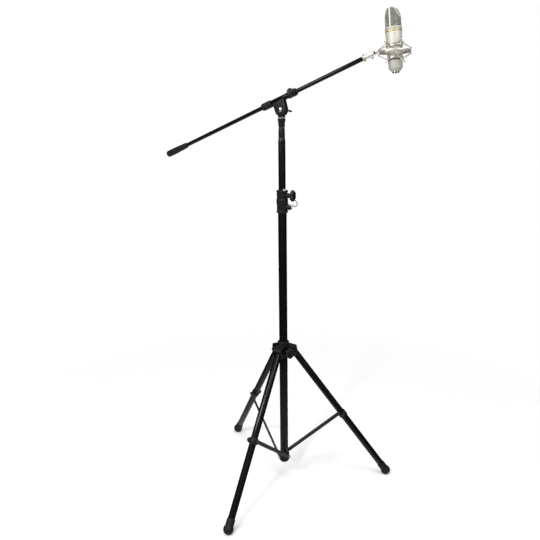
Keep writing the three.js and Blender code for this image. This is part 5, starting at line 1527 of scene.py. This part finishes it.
@dataclass
class Boom:
    """The boom tube, the counterweight's grip and the nickel adapter at its front."""

    frames: BoomFrame = field(default_factory=BoomFrame)
    body: str = "boom"
    radius: float = 7.95
    wall: float = 1.5
    front: float = 377.7
    rear: float = -626.3
    grip_length: float = 122.8
    grip_radius: float = 14.0
    grip_front_radius: float = 11.3
    grip_wall: float = 14.0
    grip_shoulder_share: float = 0.45
    grip_ribs: int = 24
    rib_radius: float = 0.98
    flange_bore: float = 4.8
    flange_radius: float = 12.8
    flange_thickness: float = 2.2
    barrel_radius: float = 8.0
    barrel_length: float = 21.0
    neck_radius: float = 6.3
    neck_length: float = 20.0
    joint: float = 431.5
    eye_radius: float = 4.6
    slot_half: float = 3.3
    cheek: float = 2.6
    screw_place: float = 409.0
    screw_radius: float = 4.5
    screw_head: float = 7.0
    screw_seat: float = 7.5
    screw_flutes: int = 14

    def build(self) -> None:
        """Makes the boom's pieces."""
        self._tube()
        self._grip()
        self._flange()
        self._adapter()
        self._thumb_screw()

    @property
    def along(self) -> Matrix:
        """The boom's frame with +Z along it."""
        return self.frames.boom @ about("Y", 90)

    def _tube(self) -> None:
        """The boom's tube, from inside the grip to the flange."""
        low = self.rear + self.grip_wall + GAP
        section = plain(self.radius - self.wall, self.radius, low, self.front)
        Workpiece().turn(section, closed=True).finish(
            "boom_tube_drawn", self.along, POWDER_COAT, self.body, "boom_tube")

    def _grip(self) -> None:
        """The rubber grip, ribbed lengthwise over its thick half."""
        rear = self.rear
        front = rear + self.grip_length
        shoulder = rear + self.grip_length * self.grip_shoulder_share
        wide = self.grip_radius
        narrow = self.grip_front_radius
        edge = wide / 3
        bore = self.radius + GAP
        piece = Workpiece().turn([
            (0, rear), (wide - edge, rear), (wide - 0.4, rear + edge), (wide - 0.4, shoulder),
            (narrow, front - edge), (narrow - edge / 2, front), (bore, front), (bore, front - 20),
            (0, front - 20)], ease=1.2)
        for spoke in evenly(self.grip_ribs):
            piece.bar(spoke @ Vector((wide - 1.0, 0, rear + edge + 1)),
                      spoke @ Vector((wide - 1.0, 0, shoulder - 3)), self.rib_radius, segments=8)
        piece.finish("grip_moulded", self.along, RUBBER, self.body, "counterweight_grip")

    def _flange(self) -> None:
        """The bright flange at the tube's front end."""
        seat = self.front + GAP
        section = plain(self.flange_bore, self.flange_radius, seat, seat + self.flange_thickness)
        Workpiece().turn(section, closed=True, ease=0.5).finish(
            "end_flange_turned", self.along, NICKEL, self.body, "adapter_flange")

    def _adapter(self) -> None:
        """The turned adapter with grooves, and the fork that carries the mount."""
        seat = self.front + GAP + self.flange_thickness + GAP
        barrel = seat + self.barrel_length
        neck = barrel + self.neck_length
        wide = self.barrel_radius
        slim = self.neck_radius
        eye = self.eye_radius
        piece = Workpiece().turn([
            (0, seat - 14), (4.5, seat - 14), (4.5, seat), (wide, seat), (wide, seat + 5),
            (wide - 0.6, seat + 5.6), (wide - 0.6, seat + 6.6), (wide, seat + 7.2),
            (wide, barrel - 1.75), (slim, barrel), (slim, neck - 1.5), (slim - 1.2, neck),
            (0, neck)], ease=0.5, place=about("Y", 90))
        outer = self.slot_half + self.cheek
        tine = [(neck - 3, -eye), (self.joint, -eye), *arc((self.joint, 0), eye, -80, 80, 10),
                (self.joint, eye), (neck - 3, eye)]
        for near, far in ((-outer, -self.slot_half), (self.slot_half, outer)):
            piece.plate(tine, near, far, ease=0.5)
        piece.block((neck - 3, -outer, -eye), (self.joint - eye - 0.8, outer, eye), ease=0.5)
        piece.bar((self.joint, -outer, 0), (self.joint, outer, 0), 2.0, segments=SHANK_ROUND)
        piece.finish("adapter_turned", self.frames.boom, NICKEL, self.body, "adapter_fork")

    def _thumb_screw(self) -> None:
        """The small fluted screw under the adapter."""
        seat = self.screw_seat
        end = seat + self.screw_head
        core = self.screw_radius - 0.3
        piece = Workpiece().turn([
            (0, GAP), (2, GAP), (2, seat), (core, seat), (core, end), (0, end)], ease=0.4,
            segments=SMALL_ROUND)
        for spoke in evenly(self.screw_flutes):
            piece.bar(spoke @ Vector((self.screw_radius - 0.55, 0, seat + 0.6)),
                      spoke @ Vector((self.screw_radius - 0.55, 0, end - 0.6)), 0.5, segments=8)
        place = self.frames.boom @ at(self.screw_place) @ about("X", 180)
        piece.finish("thumb_screw_turned", place, ZINC, "thumb_screw", "adapter_thumb_screw")


# Shock mount and microphone

@dataclass
class MountFrame:
    """The frames of the shock mount's ring and of what hangs in it."""

    boom: BoomFrame = field(default_factory=BoomFrame)
    joint: float = 431.5
    from_ring: float = 63.2
    above_ring: float = 6.5
    ring_lean: float = 1.6
    hung_lean: float = 4.3

    @property
    def ring(self) -> Matrix:
        """About the centre of the outer ring."""
        tilt = about("Y", self.boom.tilt - self.ring_lean)
        return self.boom.boom @ at(self.joint) @ tilt @ at(self.from_ring, 0, -self.above_ring)

    @property
    def hung(self) -> Matrix:
        """About the same centre, leaning with the microphone."""
        return self.ring @ about("Y", -self.hung_lean)


@dataclass
class MicSizes:
    """The microphone's own sizes, about the mount's centre."""

    top_radius: float = 28.0
    bottom_radius: float = 23.8
    shoulder: float = 71.0
    taper_bottom: float = -49.0

    def radius_at(self, height: float) -> float:
        """The body's radius at a height."""
        share = (height - self.taper_bottom) / (self.shoulder - self.taper_bottom)
        return self.bottom_radius + (self.top_radius - self.bottom_radius) * share


@dataclass
class ShockMount:
    """The outer ring, the inner cradle and the two elastics between them."""

    frames: MountFrame = field(default_factory=MountFrame)
    mic: MicSizes = field(default_factory=MicSizes)
    body: str = "shock_mount"
    ring_radius: float = 54.0
    ring_thickness: float = 2.0
    ring_half: float = 4.5
    eye_radius: float = 4.6
    eye_half: float = 3.0
    hooks: int = 4
    hook_phase: float = 58.0
    hook_radius: float = 38.0
    hook_height: float = 33.0
    wire: float = 1.5
    hook_ball: float = 2.7
    lug_ball: float = 2.2
    lug_height: float = 6.0
    cord: float = 1.1
    cradle_top: float = 22.0
    cradle_bottom: float = -25.0
    cradle_wall: float = 1.8
    # A dark liner's wall, and how far it shows past its band as painted shadow of that band.
    shade_liner_wall: float = 1.0
    shade_liner_proud: float = 2.2
    band: float = 8.0
    strap_width: float = 11.0
    clamp_azimuth: float = -30.0
    ear_reach: float = 9.0
    ear_thickness: float = 2.4
    ear_height: float = 10.0

    def build(self) -> None:
        """Makes the mount's pieces."""
        self._ring()
        self._cradle()
        self._elastic(1, "mount_elastic_upper")
        self._elastic(-1, "mount_elastic_lower")

    def _hook_azimuth(self, index: int) -> float:
        """Where a hook of the cradle stands."""
        return self.hook_phase + 360 * index / self.hooks

    def _lug_azimuth(self, index: int) -> float:
        """Where a lug of the ring stands."""
        return self._hook_azimuth(index) + 180 / self.hooks

    def _ring(self) -> None:
        """The rolled ring with its ball-ended lugs and the joint's eye."""
        half = self.ring_half
        section = plain(self.ring_radius - self.ring_thickness, self.ring_radius, -half, half)
        piece = Workpiece().turn(section, closed=True, ease=0.7, segments=FINE_ROUND)
        middle = self.ring_radius - self.ring_thickness / 2
        for index in range(self.hooks):
            for side in (-1, 1):
                azimuth = self._lug_azimuth(index)
                head = around(middle, azimuth, side * (half + self.lug_height))
                piece.bar(around(middle, azimuth, side * half / 2), head, self.wire,
                          segments=WIRE_ROUND)
                piece.ball(head, self.lug_ball)
        start = -self.frames.from_ring
        rise = self.frames.above_ring
        piece.bar((start, -self.eye_half, rise), (start, self.eye_half, rise), self.eye_radius,
                  ease=0.5)
        piece.block((start + self.eye_radius * 0.45, -self.eye_half, -half),
                    (-self.ring_radius + self.ring_thickness / 2, self.eye_half, rise), ease=0.6)
        piece.finish("mount_ring_rolled", self.frames.ring, NICKEL, self.body, "mount_outer_ring")

    def _cradle(self) -> None:
        """Two bands joined by straps, with hooks up and down and a clamp screw, and dark rubber
        liners that show past the bands as painted shadow.
        """
        low, high = self.cradle_bottom, self.cradle_top
        piece = Workpiece()
        piece.turn(self._sleeve(low, low + self.band), closed=True, ease=0.5)
        piece.turn(self._sleeve(high - self.band, high), closed=True, ease=0.5)
        for index in range(self.hooks):
            span = math.degrees(self.strap_width / self.mic.radius_at(0))
            azimuth = self._hook_azimuth(index)
            piece.sector(self._sleeve(low + 2, high - 2), azimuth, span)
            for side in (-1, 1):
                height = self._root_height(side)
                root = around(self.mic.radius_at(height) + GAP + self.wire, azimuth, height)
                tip = around(self.hook_radius, azimuth, side * self.hook_height)
                piece.bar(root, tip, self.wire, segments=WIRE_ROUND)
                piece.ball(tip, self.hook_ball)
        self._clamp(piece)
        piece.finish("mount_cradle_pressed", self.frames.hung, NICKEL, self.body,
                     "mount_inner_cradle")
        # Dark rubber liners that show past the outer edge of each band: partly a liner, partly
        # painted shadow of the band on the microphone.
        lining = Workpiece()
        for start, end in ((low - self.shade_liner_proud, low + self.band),
                           (high - self.band, high + self.shade_liner_proud)):
            inner = self.mic.radius_at((start + end) / 2) + 0.05
            lining.turn(plain(inner, inner + self.shade_liner_wall, start, end), closed=True, ease=0.3,
                        segments=FINE_ROUND)
        lining.finish("mount_shade_liner_moulded", self.frames.hung, RUBBER, self.body)

    def _clamp(self, piece: Workpiece) -> None:
        """The two ears of the upper band with the screw through them.

        Args:
            piece: the cradle's workpiece.
        """
        bottom = self.cradle_top - self.band / 2 - self.ear_height / 2
        top = bottom + self.ear_height
        reach = self.mic.radius_at(bottom) + GAP + self.cradle_wall / 2
        turn = about("Z", self.clamp_azimuth)
        for side in (-1, 1):
            low, high = sorted((side * self.ear_thickness * 0.5, side * self.ear_thickness * 1.5))
            piece.block((reach, low, bottom), (reach + self.ear_reach, high, top), ease=0.5,
                        place=turn)
        screw = turn @ at(reach + self.ear_reach / 2, 0, bottom + self.ear_height / 2)
        piece.turn([(0, -8), (2.5, -8), (2.5, -3.7), (1.6, -3.6), (1.6, 3.6), (2.5, 3.7), (2.5, 8),
                    (0, 8)], ease=0.4, place=screw @ about("X", 90), segments=SHANK_ROUND)

    def _root_height(self, side: int) -> float:
        """The height at which a hook leaves its band, on the upper side or the lower one."""
        return (self.cradle_top if side > 0 else self.cradle_bottom) - side * 2 * self.wire

    def _sleeve(self, low: float, high: float) -> list[Point2]:
        """A band's section that follows the microphone's taper.

        Args:
            low: the band's lower edge.
            high: its upper edge.

        Returns:
            The section's points.
        """
        inner_low = self.mic.radius_at(low) + GAP
        inner_high = self.mic.radius_at(high) + GAP
        return [(inner_low, low), (inner_low + self.cradle_wall, low),
                (inner_high + self.cradle_wall, high), (inner_high, high)]

    def _beside(self, radius: float, azimuth: float, sideways: float, height: float) -> Vector:
        """A place beside a post, shifted along the ring."""
        turn = math.degrees(math.atan2(sideways, radius))
        return around(math.hypot(radius, sideways), azimuth + turn, height)

    def _elastic(self, side: int, node: str) -> None:
        """One elastic that zigzags between the hooks and the lugs.

        Args:
            side: 1 for the upper one and -1 for the lower one.
            node: the solid that it stands for.
        """
        clear = self.wire + self.cord + GAP
        root_height = self._root_height(side)
        root_radius = self.mic.radius_at(root_height) + GAP + self.wire
        lean = math.atan2(self.hook_radius - root_radius, self.hook_height - abs(root_height))
        drop = 2 * self.hook_ball
        hook_at = self.hook_radius - drop * math.tan(lean) - clear / math.cos(lean)
        lug_at = self.ring_radius - self.ring_thickness / 2 + clear
        swing = about("Y", -self.frames.hung_lean)
        route = []
        for index in range(self.hooks):
            for end in (-1, 1):
                route.append(swing @ self._beside(hook_at, self._hook_azimuth(index), end * clear,
                                                  side * (self.hook_height - drop)))
            for end in (-1, 1):
                route.append(self._beside(lug_at, self._lug_azimuth(index), end * clear,
                                          side * (self.ring_half + self.lug_height / 2)))
        mesh = swept(route, self.cord, self.frames.ring, closed=True, smooth=False)
        dressed(f"{node}_braided", mesh, ELASTIC, self.body, node)


@dataclass
class Microphone:
    """The side-address microphone that hangs in the cradle."""

    frames: MountFrame = field(default_factory=MountFrame)
    sizes: MicSizes = field(default_factory=MicSizes)
    body: str = "shock_mount"
    gold_height: float = 64.8
    gold_half: float = 1.6
    head_ring: float = 6.5
    head_proud: float = 0.6
    grille_height: float = 61.4
    straight_share: float = 0.39
    ridge_share: float = 0.28
    crown_share: float = 0.26
    flat_proud: float = 2.0
    rib_half: float = 2.75
    rib_thickness: float = 1.4
    rib_steps: int = 36
    wires_round: int = 108
    wire_rows: int = 40
    wire_thickness: float = 0.55
    cloth_columns: int = 96
    cloth_rows: int = 36
    weave_height: float = 14.0
    cap_height: float = 15.0
    cap_bottom_radius: float = 15.5
    outlet_radius: float = 12.0
    outlet_length: float = 4.5
    outlet_wall: float = 2.2
    contact_circle: float = 4.5
    contact_radius: float = 1.2

    def build(self) -> None:
        """Makes the microphone's pieces."""
        self._housing()
        self._gold_ring()
        self._head_frame()
        self._grille()
        self._base_cap()
        self._outlet()

    @property
    def grille_base(self) -> float:
        """The height that the grille stands on."""
        return self.sizes.shoulder + GAP + self.head_ring

    def _housing(self) -> None:
        """The tapered body with the gold ring's groove, and the capsule on its post."""
        at_height = self.sizes.radius_at
        low = self.sizes.taper_bottom
        shoulder = self.sizes.shoulder
        groove_low = self.gold_height - self.gold_half - GAP
        groove_high = self.gold_height + self.gold_half + GAP
        piece = Workpiece().turn([
            (0, low), (at_height(low) - 1.0, low), (at_height(low), low + 0.8),
            (at_height(groove_low), groove_low), (at_height(groove_low) - 1, groove_low),
            (at_height(groove_high) - 1, groove_high), (at_height(groove_high), groove_high),
            (at_height(shoulder), shoulder), (0, shoulder)], ease=0.35, segments=FINE_ROUND)
        middle = shoulder + self.head_ring + self.grille_height / 2
        piece.bar((0, 0, shoulder - 1), (0, 0, middle), 5.0)
        piece.turn([(0, -4.5), (15.5, -4.5), (17, -3), (17, 3), (15.5, 4.5), (0, 4.5)], ease=0.6,
                   place=at(z=middle) @ about("Y", 90))
        piece.finish("mic_housing_turned", self.frames.hung, MIC_SATIN, self.body, "mic_body")

    def _gold_ring(self) -> None:
        """The gold band in its groove."""
        outer = self.sizes.radius_at(self.gold_height) + 0.25
        section = plain(outer - 0.8, outer, self.gold_height - self.gold_half,
                        self.gold_height + self.gold_half)
        Workpiece().turn(section, closed=True, ease=0.5, segments=FINE_ROUND).finish(
            "mic_gold_ring_turned", self.frames.hung, GOLD, self.body, "mic_gold_ring")

    def _wedge_radius(self, angle: float, height: float, radius: float, total: float) -> float:
        """How far the wedge-shaped head reaches from its axis.

        Args:
            angle: the direction, in radians, from the wedge's flat side.
            height: the height over the head's base.
            radius: the radius of the head's round part.
            total: the head's height.

        Returns:
            The reach, in millimetres.
        """
        crown = radius * self.crown_share
        ridge = radius * self.ridge_share
        straight = total * self.straight_share
        over = max(0.0, height - (total - crown))
        dome = radius - crown + math.sqrt(max(0.0, crown ** 2 - over ** 2))
        slope_end = total - ridge / 2
        if height <= straight:
            face = radius + self.flat_proud
        elif height <= slope_end:
            share = (height - straight) / (slope_end - straight)
            face = (radius + self.flat_proud) + (1.5 * ridge - radius - self.flat_proud) * share
        else:
            face = 1.5 * ridge - (height - slope_end)
        return min(dome, face / max(abs(math.cos(angle)), 1e-6))

    def _wedge(self, radius: float, total: float, columns: int, rows: int) -> bmesh.types.BMesh:
        """A skin of the wedge-shaped head, as an even grid that closes over the top.

        Args:
            radius: the radius of its round part.
            total: its height.
            columns: columns round it.
            rows: rows up its side; the top gets a third as many.

        Returns:
            The skin, open at its base.
        """
        part = bmesh.new()
        top_rows = rows // 3
        levels = [(total * row / rows, 1.0) for row in range(rows + 1)]
        levels += [(total, 1.0 - row / top_rows) for row in range(1, top_rows + 1)]
        line = [part.verts.new((1.0, 0.0, index)) for index in range(len(levels))]
        edges = [part.edges.new(pair) for pair in zip(line, line[1:])]
        bmesh.ops.spin(part, geom=line + edges, cent=(0, 0, 0), axis=(0, 0, 1), angle=FULL_TURN,
                       steps=columns, use_merge=True, use_duplicate=False)
        for vert in part.verts:
            height, share = levels[round(vert.co.z)]
            angle = math.atan2(vert.co.y, vert.co.x)
            reach = self._wedge_radius(angle, height, radius, total) * share
            vert.co = Vector((reach * math.cos(angle), reach * math.sin(angle), height))
        bmesh.ops.remove_doubles(part, verts=part.verts, dist=0.02)
        bmesh.ops.recalc_face_normals(part, faces=part.faces)
        return part

    def _grille(self) -> None:
        """The woven grille: real wires over an inner layer of finer cloth."""
        radius = self.sizes.top_radius + self.head_proud - self.rib_thickness - GAP
        inside = self.wire_thickness / 2
        place = at(z=self.grille_base + GAP)
        wires = self._wedge(
            radius - inside, self.grille_height - inside, self.wires_round, self.wire_rows)
        bmesh.ops.wireframe(wires, faces=wires.faces, thickness=self.wire_thickness, offset=0.0,
                            use_replace=True, use_boundary=True, use_even_offset=True)
        Workpiece().take(wires, place).finish(
            "grille_woven", self.frames.hung, GRILLE_WIRE, self.body, "mic_grille")
        cloth = self._wedge(radius - 3 * inside, self.grille_height - 3 * inside,
                            self.cloth_columns, self.cloth_rows)
        lined = Workpiece().take(cloth, place).finish(
            "grille_lining", self.frames.hung, INNER_CLOTH, self.body)
        self._unwrap(lined.data)

    def _unwrap(self, data: bpy.types.Mesh) -> None:
        """Gives the lining a map that runs round and up it, so that its weave follows it.

        Args:
            data: the lining's mesh.
        """
        layer = data.uv_layers.new(name="weave")
        back = self.frames.hung.inverted() @ Matrix.Scale(1 / MM, 4)
        places = [back @ vert.co for vert in data.vertices]
        angles = [math.atan2(point.y, point.x) for point in places]
        for polygon in data.polygons:
            middle = sum((places[i] for i in polygon.vertices), Vector()) / len(polygon.vertices)
            facing = math.atan2(middle.y, middle.x)
            for corner, index in zip(polygon.loop_indices, polygon.vertices):
                turns = round((facing - angles[index]) / FULL_TURN)
                layer.data[corner].uv = (
                    (angles[index] + turns * FULL_TURN) * 2.0, places[index].z / self.weave_height)

    def _head_frame(self) -> None:
        """The ring under the grille and the bright rib over it."""
        outer = self.sizes.top_radius + self.head_proud
        low = self.sizes.shoulder + GAP
        high = self.grille_base
        Workpiece().turn([
            (outer - 5, low), (outer - 0.5, low), (outer, low + 0.5), (outer, high - 0.7),
            (outer - 0.7, high), (outer - 5, high)], closed=True, ease=0.3,
            segments=FINE_ROUND).finish("head_ring_turned", self.frames.hung, MIC_SATIN, self.body,
                                        "mic_head_frame")
        side = self._rib_side(outer, self.grille_height + GAP + self.rib_thickness)
        back = self._rib_side(outer - self.rib_thickness, self.grille_height + 2 * GAP)
        strip = [(-y, h) for y, h in side] + [(y, h) for y, h in reversed(side)]
        strip += [(y, h) for y, h in back] + [(-y, h) for y, h in reversed(back)]
        rib = Workpiece().plate(
            strip, -self.rib_half, self.rib_half, ease=0.45, place=about("Z", 90))
        rib.finish("head_rib_pressed", self.frames.hung @ at(z=high - GAP), RIB_SATIN, self.body)

    def _rib_side(self, radius: float, total: float) -> list[Point2]:
        """One edge of the rib, from the head's base to its top."""
        heights = [total * step / self.rib_steps for step in range(self.rib_steps + 1)]
        return [(self._wedge_radius(math.pi / 2, h, radius, total), h) for h in heights]

    def _base_cap(self) -> None:
        """The tapered cap under the body, with a fine seam groove."""
        top = self.sizes.taper_bottom - GAP
        low = top - self.cap_height
        wide = self.sizes.radius_at(self.sizes.taper_bottom)
        Workpiece().turn([
            (0, low), (self.cap_bottom_radius, low), (wide - 1.2, top - 5.4), (wide, top - 3.2),
            (wide, top - 0.6), (wide - 0.6, top), (0, top)], ease=0.9, segments=FINE_ROUND).finish(
            "mic_base_cap_turned", self.frames.hung, MIC_SATIN, self.body, "mic_base_cap")

    def _outlet(self) -> None:
        """The round outlet with its dark insert and three contact pins."""
        top = self.sizes.taper_bottom - 2 * GAP - self.cap_height
        low = top - self.outlet_length
        inner = self.outlet_radius - self.outlet_wall
        floor = top - 1.1
        shell = Workpiece().turn(plain(inner, self.outlet_radius, top, low), closed=True, ease=0.5)
        for azimuth in (0, 120, 240):
            shell.bar(around(self.contact_circle, azimuth, floor),
                      around(self.contact_circle, azimuth, low + 0.6), self.contact_radius,
                      self.contact_radius * 0.8, segments=16)
        shell.finish("outlet_shell_turned", self.frames.hung, CHROME, self.body, "mic_xlr_socket")
        Workpiece().turn(plain(0, inner, floor, top), ease=0.2).finish(
            "outlet_insert_moulded", self.frames.hung, CONTACT_DARK, self.body)


# Studio

@dataclass(frozen=True)
class Lamp:
    """A soft rectangular lamp: where it hangs, in degrees and metres, its size and its radiance."""

    name: str
    azimuth: float
    elevation: float
    distance: float
    size: Point2
    radiance: float

    def hang(self, middle: Vector) -> None:
        """Hangs the lamp so that it looks at the middle of the stand.

        Args:
            middle: the place that it looks at.
        """
        data = bpy.data.lights.new(self.name, "AREA")
        data.shape = "RECTANGLE"
        data.size, data.size_y = self.size
        data.energy = self.radiance * math.pi * self.size[0] * self.size[1]
        lamp = bpy.data.objects.new(self.name, data)
        rise = math.radians(self.elevation)
        place = middle + around(math.cos(rise), self.azimuth, math.sin(rise)) * self.distance
        aim = (middle - place).to_track_quat("-Z", "Y").to_matrix().to_4x4()
        lamp.matrix_world = Matrix.Translation(place) @ aim
        bpy.context.scene.collection.objects.link(lamp)


@dataclass
class Studio:
    """The pale floor, the soft lamps and the camera at the photographed angle."""

    floor: float = -0.0745
    floor_radius: float = 1.9
    floor_glow: float = 0.14
    fade_start: float = 0.55
    middle: float = 0.9
    back_light: float = 0.05
    front_light: float = 0.5
    low_share: float = 0.3
    top_light: float = 0.35
    under_light: float = 0.75
    facing_range: Point2 = (-0.2, 0.9)
    raised_range: Point2 = (-0.1, 0.3)
    top_range: Point2 = (0.2, 1.0)
    under_range: Point2 = (-0.3, -0.85)
    camera_place: tuple[float, float, float] = (1.2806, -2.0272, 1.4748)
    azimuth: float = 123.54
    pitch: float = 14.03
    roll: float = -0.77
    lens: float = 40.0
    sensor: float = 36.0
    lamps: tuple[Lamp, ...] = (
        Lamp("front_lamp", 278.5, 42, 3.8, (0.26, 1.35), 40.0),
        Lamp("left_lamp", 250, 30, 3.05, (0.9, 0.6), 20.0),
        Lamp("side_lamp", 345, 42, 3.6, (2.4, 1.2), 4.0),
        Lamp("top_lamp", 300, 84, 3.4, (2.2, 2.2), 3.6))

    def build(self) -> None:
        """Sets up the floor, the lamps, the surroundings and the camera."""
        self._camera()
        self._floor()
        self._world()
        for lamp in self.lamps:
            lamp.hang(Vector((0, 0, self.middle)))
        bpy.context.scene.view_settings.view_transform = "Standard"

    def _camera(self) -> None:
        """Stands the camera where the photograph was taken from."""
        data = bpy.data.cameras.new("camera")
        data.lens = self.lens
        data.sensor_width = self.sensor
        data.sensor_fit = "HORIZONTAL"
        data.clip_end = 100.0
        camera = bpy.data.objects.new("camera", data)
        heading, drop = math.radians(self.azimuth), math.radians(self.pitch)
        look = Vector((math.cos(heading) * math.cos(drop), math.sin(heading) * math.cos(drop),
                       -math.sin(drop)))
        right = look.cross(Vector((0, 0, 1))).normalized()
        up = right.cross(look)
        lean = math.radians(self.roll)
        right, up = (right * math.cos(lean) + up * math.sin(lean),
                     up * math.cos(lean) - right * math.sin(lean))
        turn = Matrix((right, up, -look)).transposed().to_4x4()
        camera.matrix_world = Matrix.Translation(self.camera_place) @ turn
        bpy.context.scene.collection.objects.link(camera)
        bpy.context.scene.camera = camera

    def _floor(self) -> None:
        """A pale floor that fades into the white surroundings."""
        mesh = bmesh.new()
        bmesh.ops.create_circle(mesh, cap_ends=True, segments=FINE_ROUND, radius=self.floor_radius,
                                matrix=Matrix.Translation((0, 0, self.floor)))
        data = bpy.data.meshes.new("floor")
        mesh.to_mesh(data)
        mesh.free()
        material = bpy.data.materials.new("floor_pale")
        sheet = NodeSheet(material)
        shader = sheet.put(sheet.tree.nodes["Principled BSDF"], Base_Color=(0.93, 0.93, 0.925, 1.0),
                           Emission_Color=(1.0, 1.0, 0.995, 1.0), Emission_Strength=self.floor_glow,
                           Roughness=0.9, Specular_IOR_Level=0.0)
        reach = sheet.node("ShaderNodeVectorMath", ("operation", "LENGTH"),
                           Vector=sheet.coordinates.outputs["Object"]).outputs["Value"]
        blend = sheet.node("ShaderNodeMixShader", Fac=sheet.spread(
            reach, (self.fade_start, self.floor_radius), (0.0, 1.0)))
        sheet.fill(blend.inputs[1], shader.outputs["BSDF"])
        sheet.fill(blend.inputs[2], sheet.node("ShaderNodeBsdfTransparent").outputs["BSDF"])
        sheet.put(sheet.tree.nodes["Material Output"], Surface=blend.outputs["Shader"])
        data.materials.append(material)
        floor = bpy.data.objects.new("floor", data)
        floor.visible_glossy = False
        bpy.context.scene.collection.objects.link(floor)

    def _world(self) -> None:
        """White surroundings that light the part softly, most from above and from the front."""
        world = bpy.data.worlds.new("surroundings")
        sheet = NodeSheet(world)
        place = sheet.coordinates.outputs["Generated"]
        facing = sheet.node("ShaderNodeVectorMath", ("operation", "DOT_PRODUCT"), Vector=place)
        sheet.fill(facing.inputs[1], around(1.0, self.azimuth + 180, 0.0))
        height = sheet.node("ShaderNodeSeparateXYZ", Vector=place).outputs["Z"]
        toward = sheet.spread(facing.outputs["Value"], self.facing_range,
                              (self.back_light, self.front_light), "SMOOTHSTEP")
        raised = sheet.spread(height, self.raised_range, (self.low_share, 1.0), "SMOOTHSTEP")
        above = sheet.spread(height, self.top_range, (0.0, self.top_light), "SMOOTHSTEP")
        below = sheet.spread(height, self.under_range, (0.0, self.under_light), "SMOOTHSTEP")
        front = sheet.combined("MULTIPLY", toward, raised)
        light = sheet.combined("ADD", sheet.combined("ADD", front, above), below)
        rays = sheet.node("ShaderNodeLightPath")
        seen = sheet.node("ShaderNodeMix", Factor=rays.outputs["Is Camera Ray"], A=light, B=1.0)
        sheet.put(sheet.tree.nodes["Background"], Color=(1.0, 1.0, 1.0, 1.0),
                  Strength=seen.outputs["Result"])
        bpy.context.scene.world = world


def main() -> None:
    """Builds the stand, the microphone and the studio."""
    logging.basicConfig(level=logging.INFO, format="%(name)s: %(message)s")
    Studio().build()
    base = MastBase()
    base.build()
    knob = LobedKnob(diameter=44.0, thickness=15.0, face=34.7, stem_bottom=10.0).build()
    place = at(z=base.knob_height) @ about("Z", base.clutch_azimuth) @ at(x=base.radius + GAP)
    knob.finish("mast_knob_moulded", place @ about("Y", 90), KNOB_PLASTIC, "mast_knob",
                "mast_clutch_knob")
    PullPin().build()
    hub = TripodHub()
    hub.build()
    knob = LobedKnob(diameter=45.0, thickness=17.0, face=43.2, stem_bottom=18.5).build()
    place = at(z=hub.boss_height) @ about("Z", hub.boss_azimuth) @ at(x=base.radius + GAP)
    knob.finish("hub_knob_moulded", place @ about("Y", 90), KNOB_PLASTIC, "hub_knob",
                "hub_lock_knob")
    for number, azimuth in enumerate(LEG_AZIMUTHS, 1):
        TripodLeg(number, azimuth).build()
        Brace(number, azimuth).build()
    UpperMast().build()
    SwivelHead().build()
    BoomHead().build()
    Boom().build()
    ShockMount().build()
    Microphone().build()


if __name__ == "__main__":
    main()
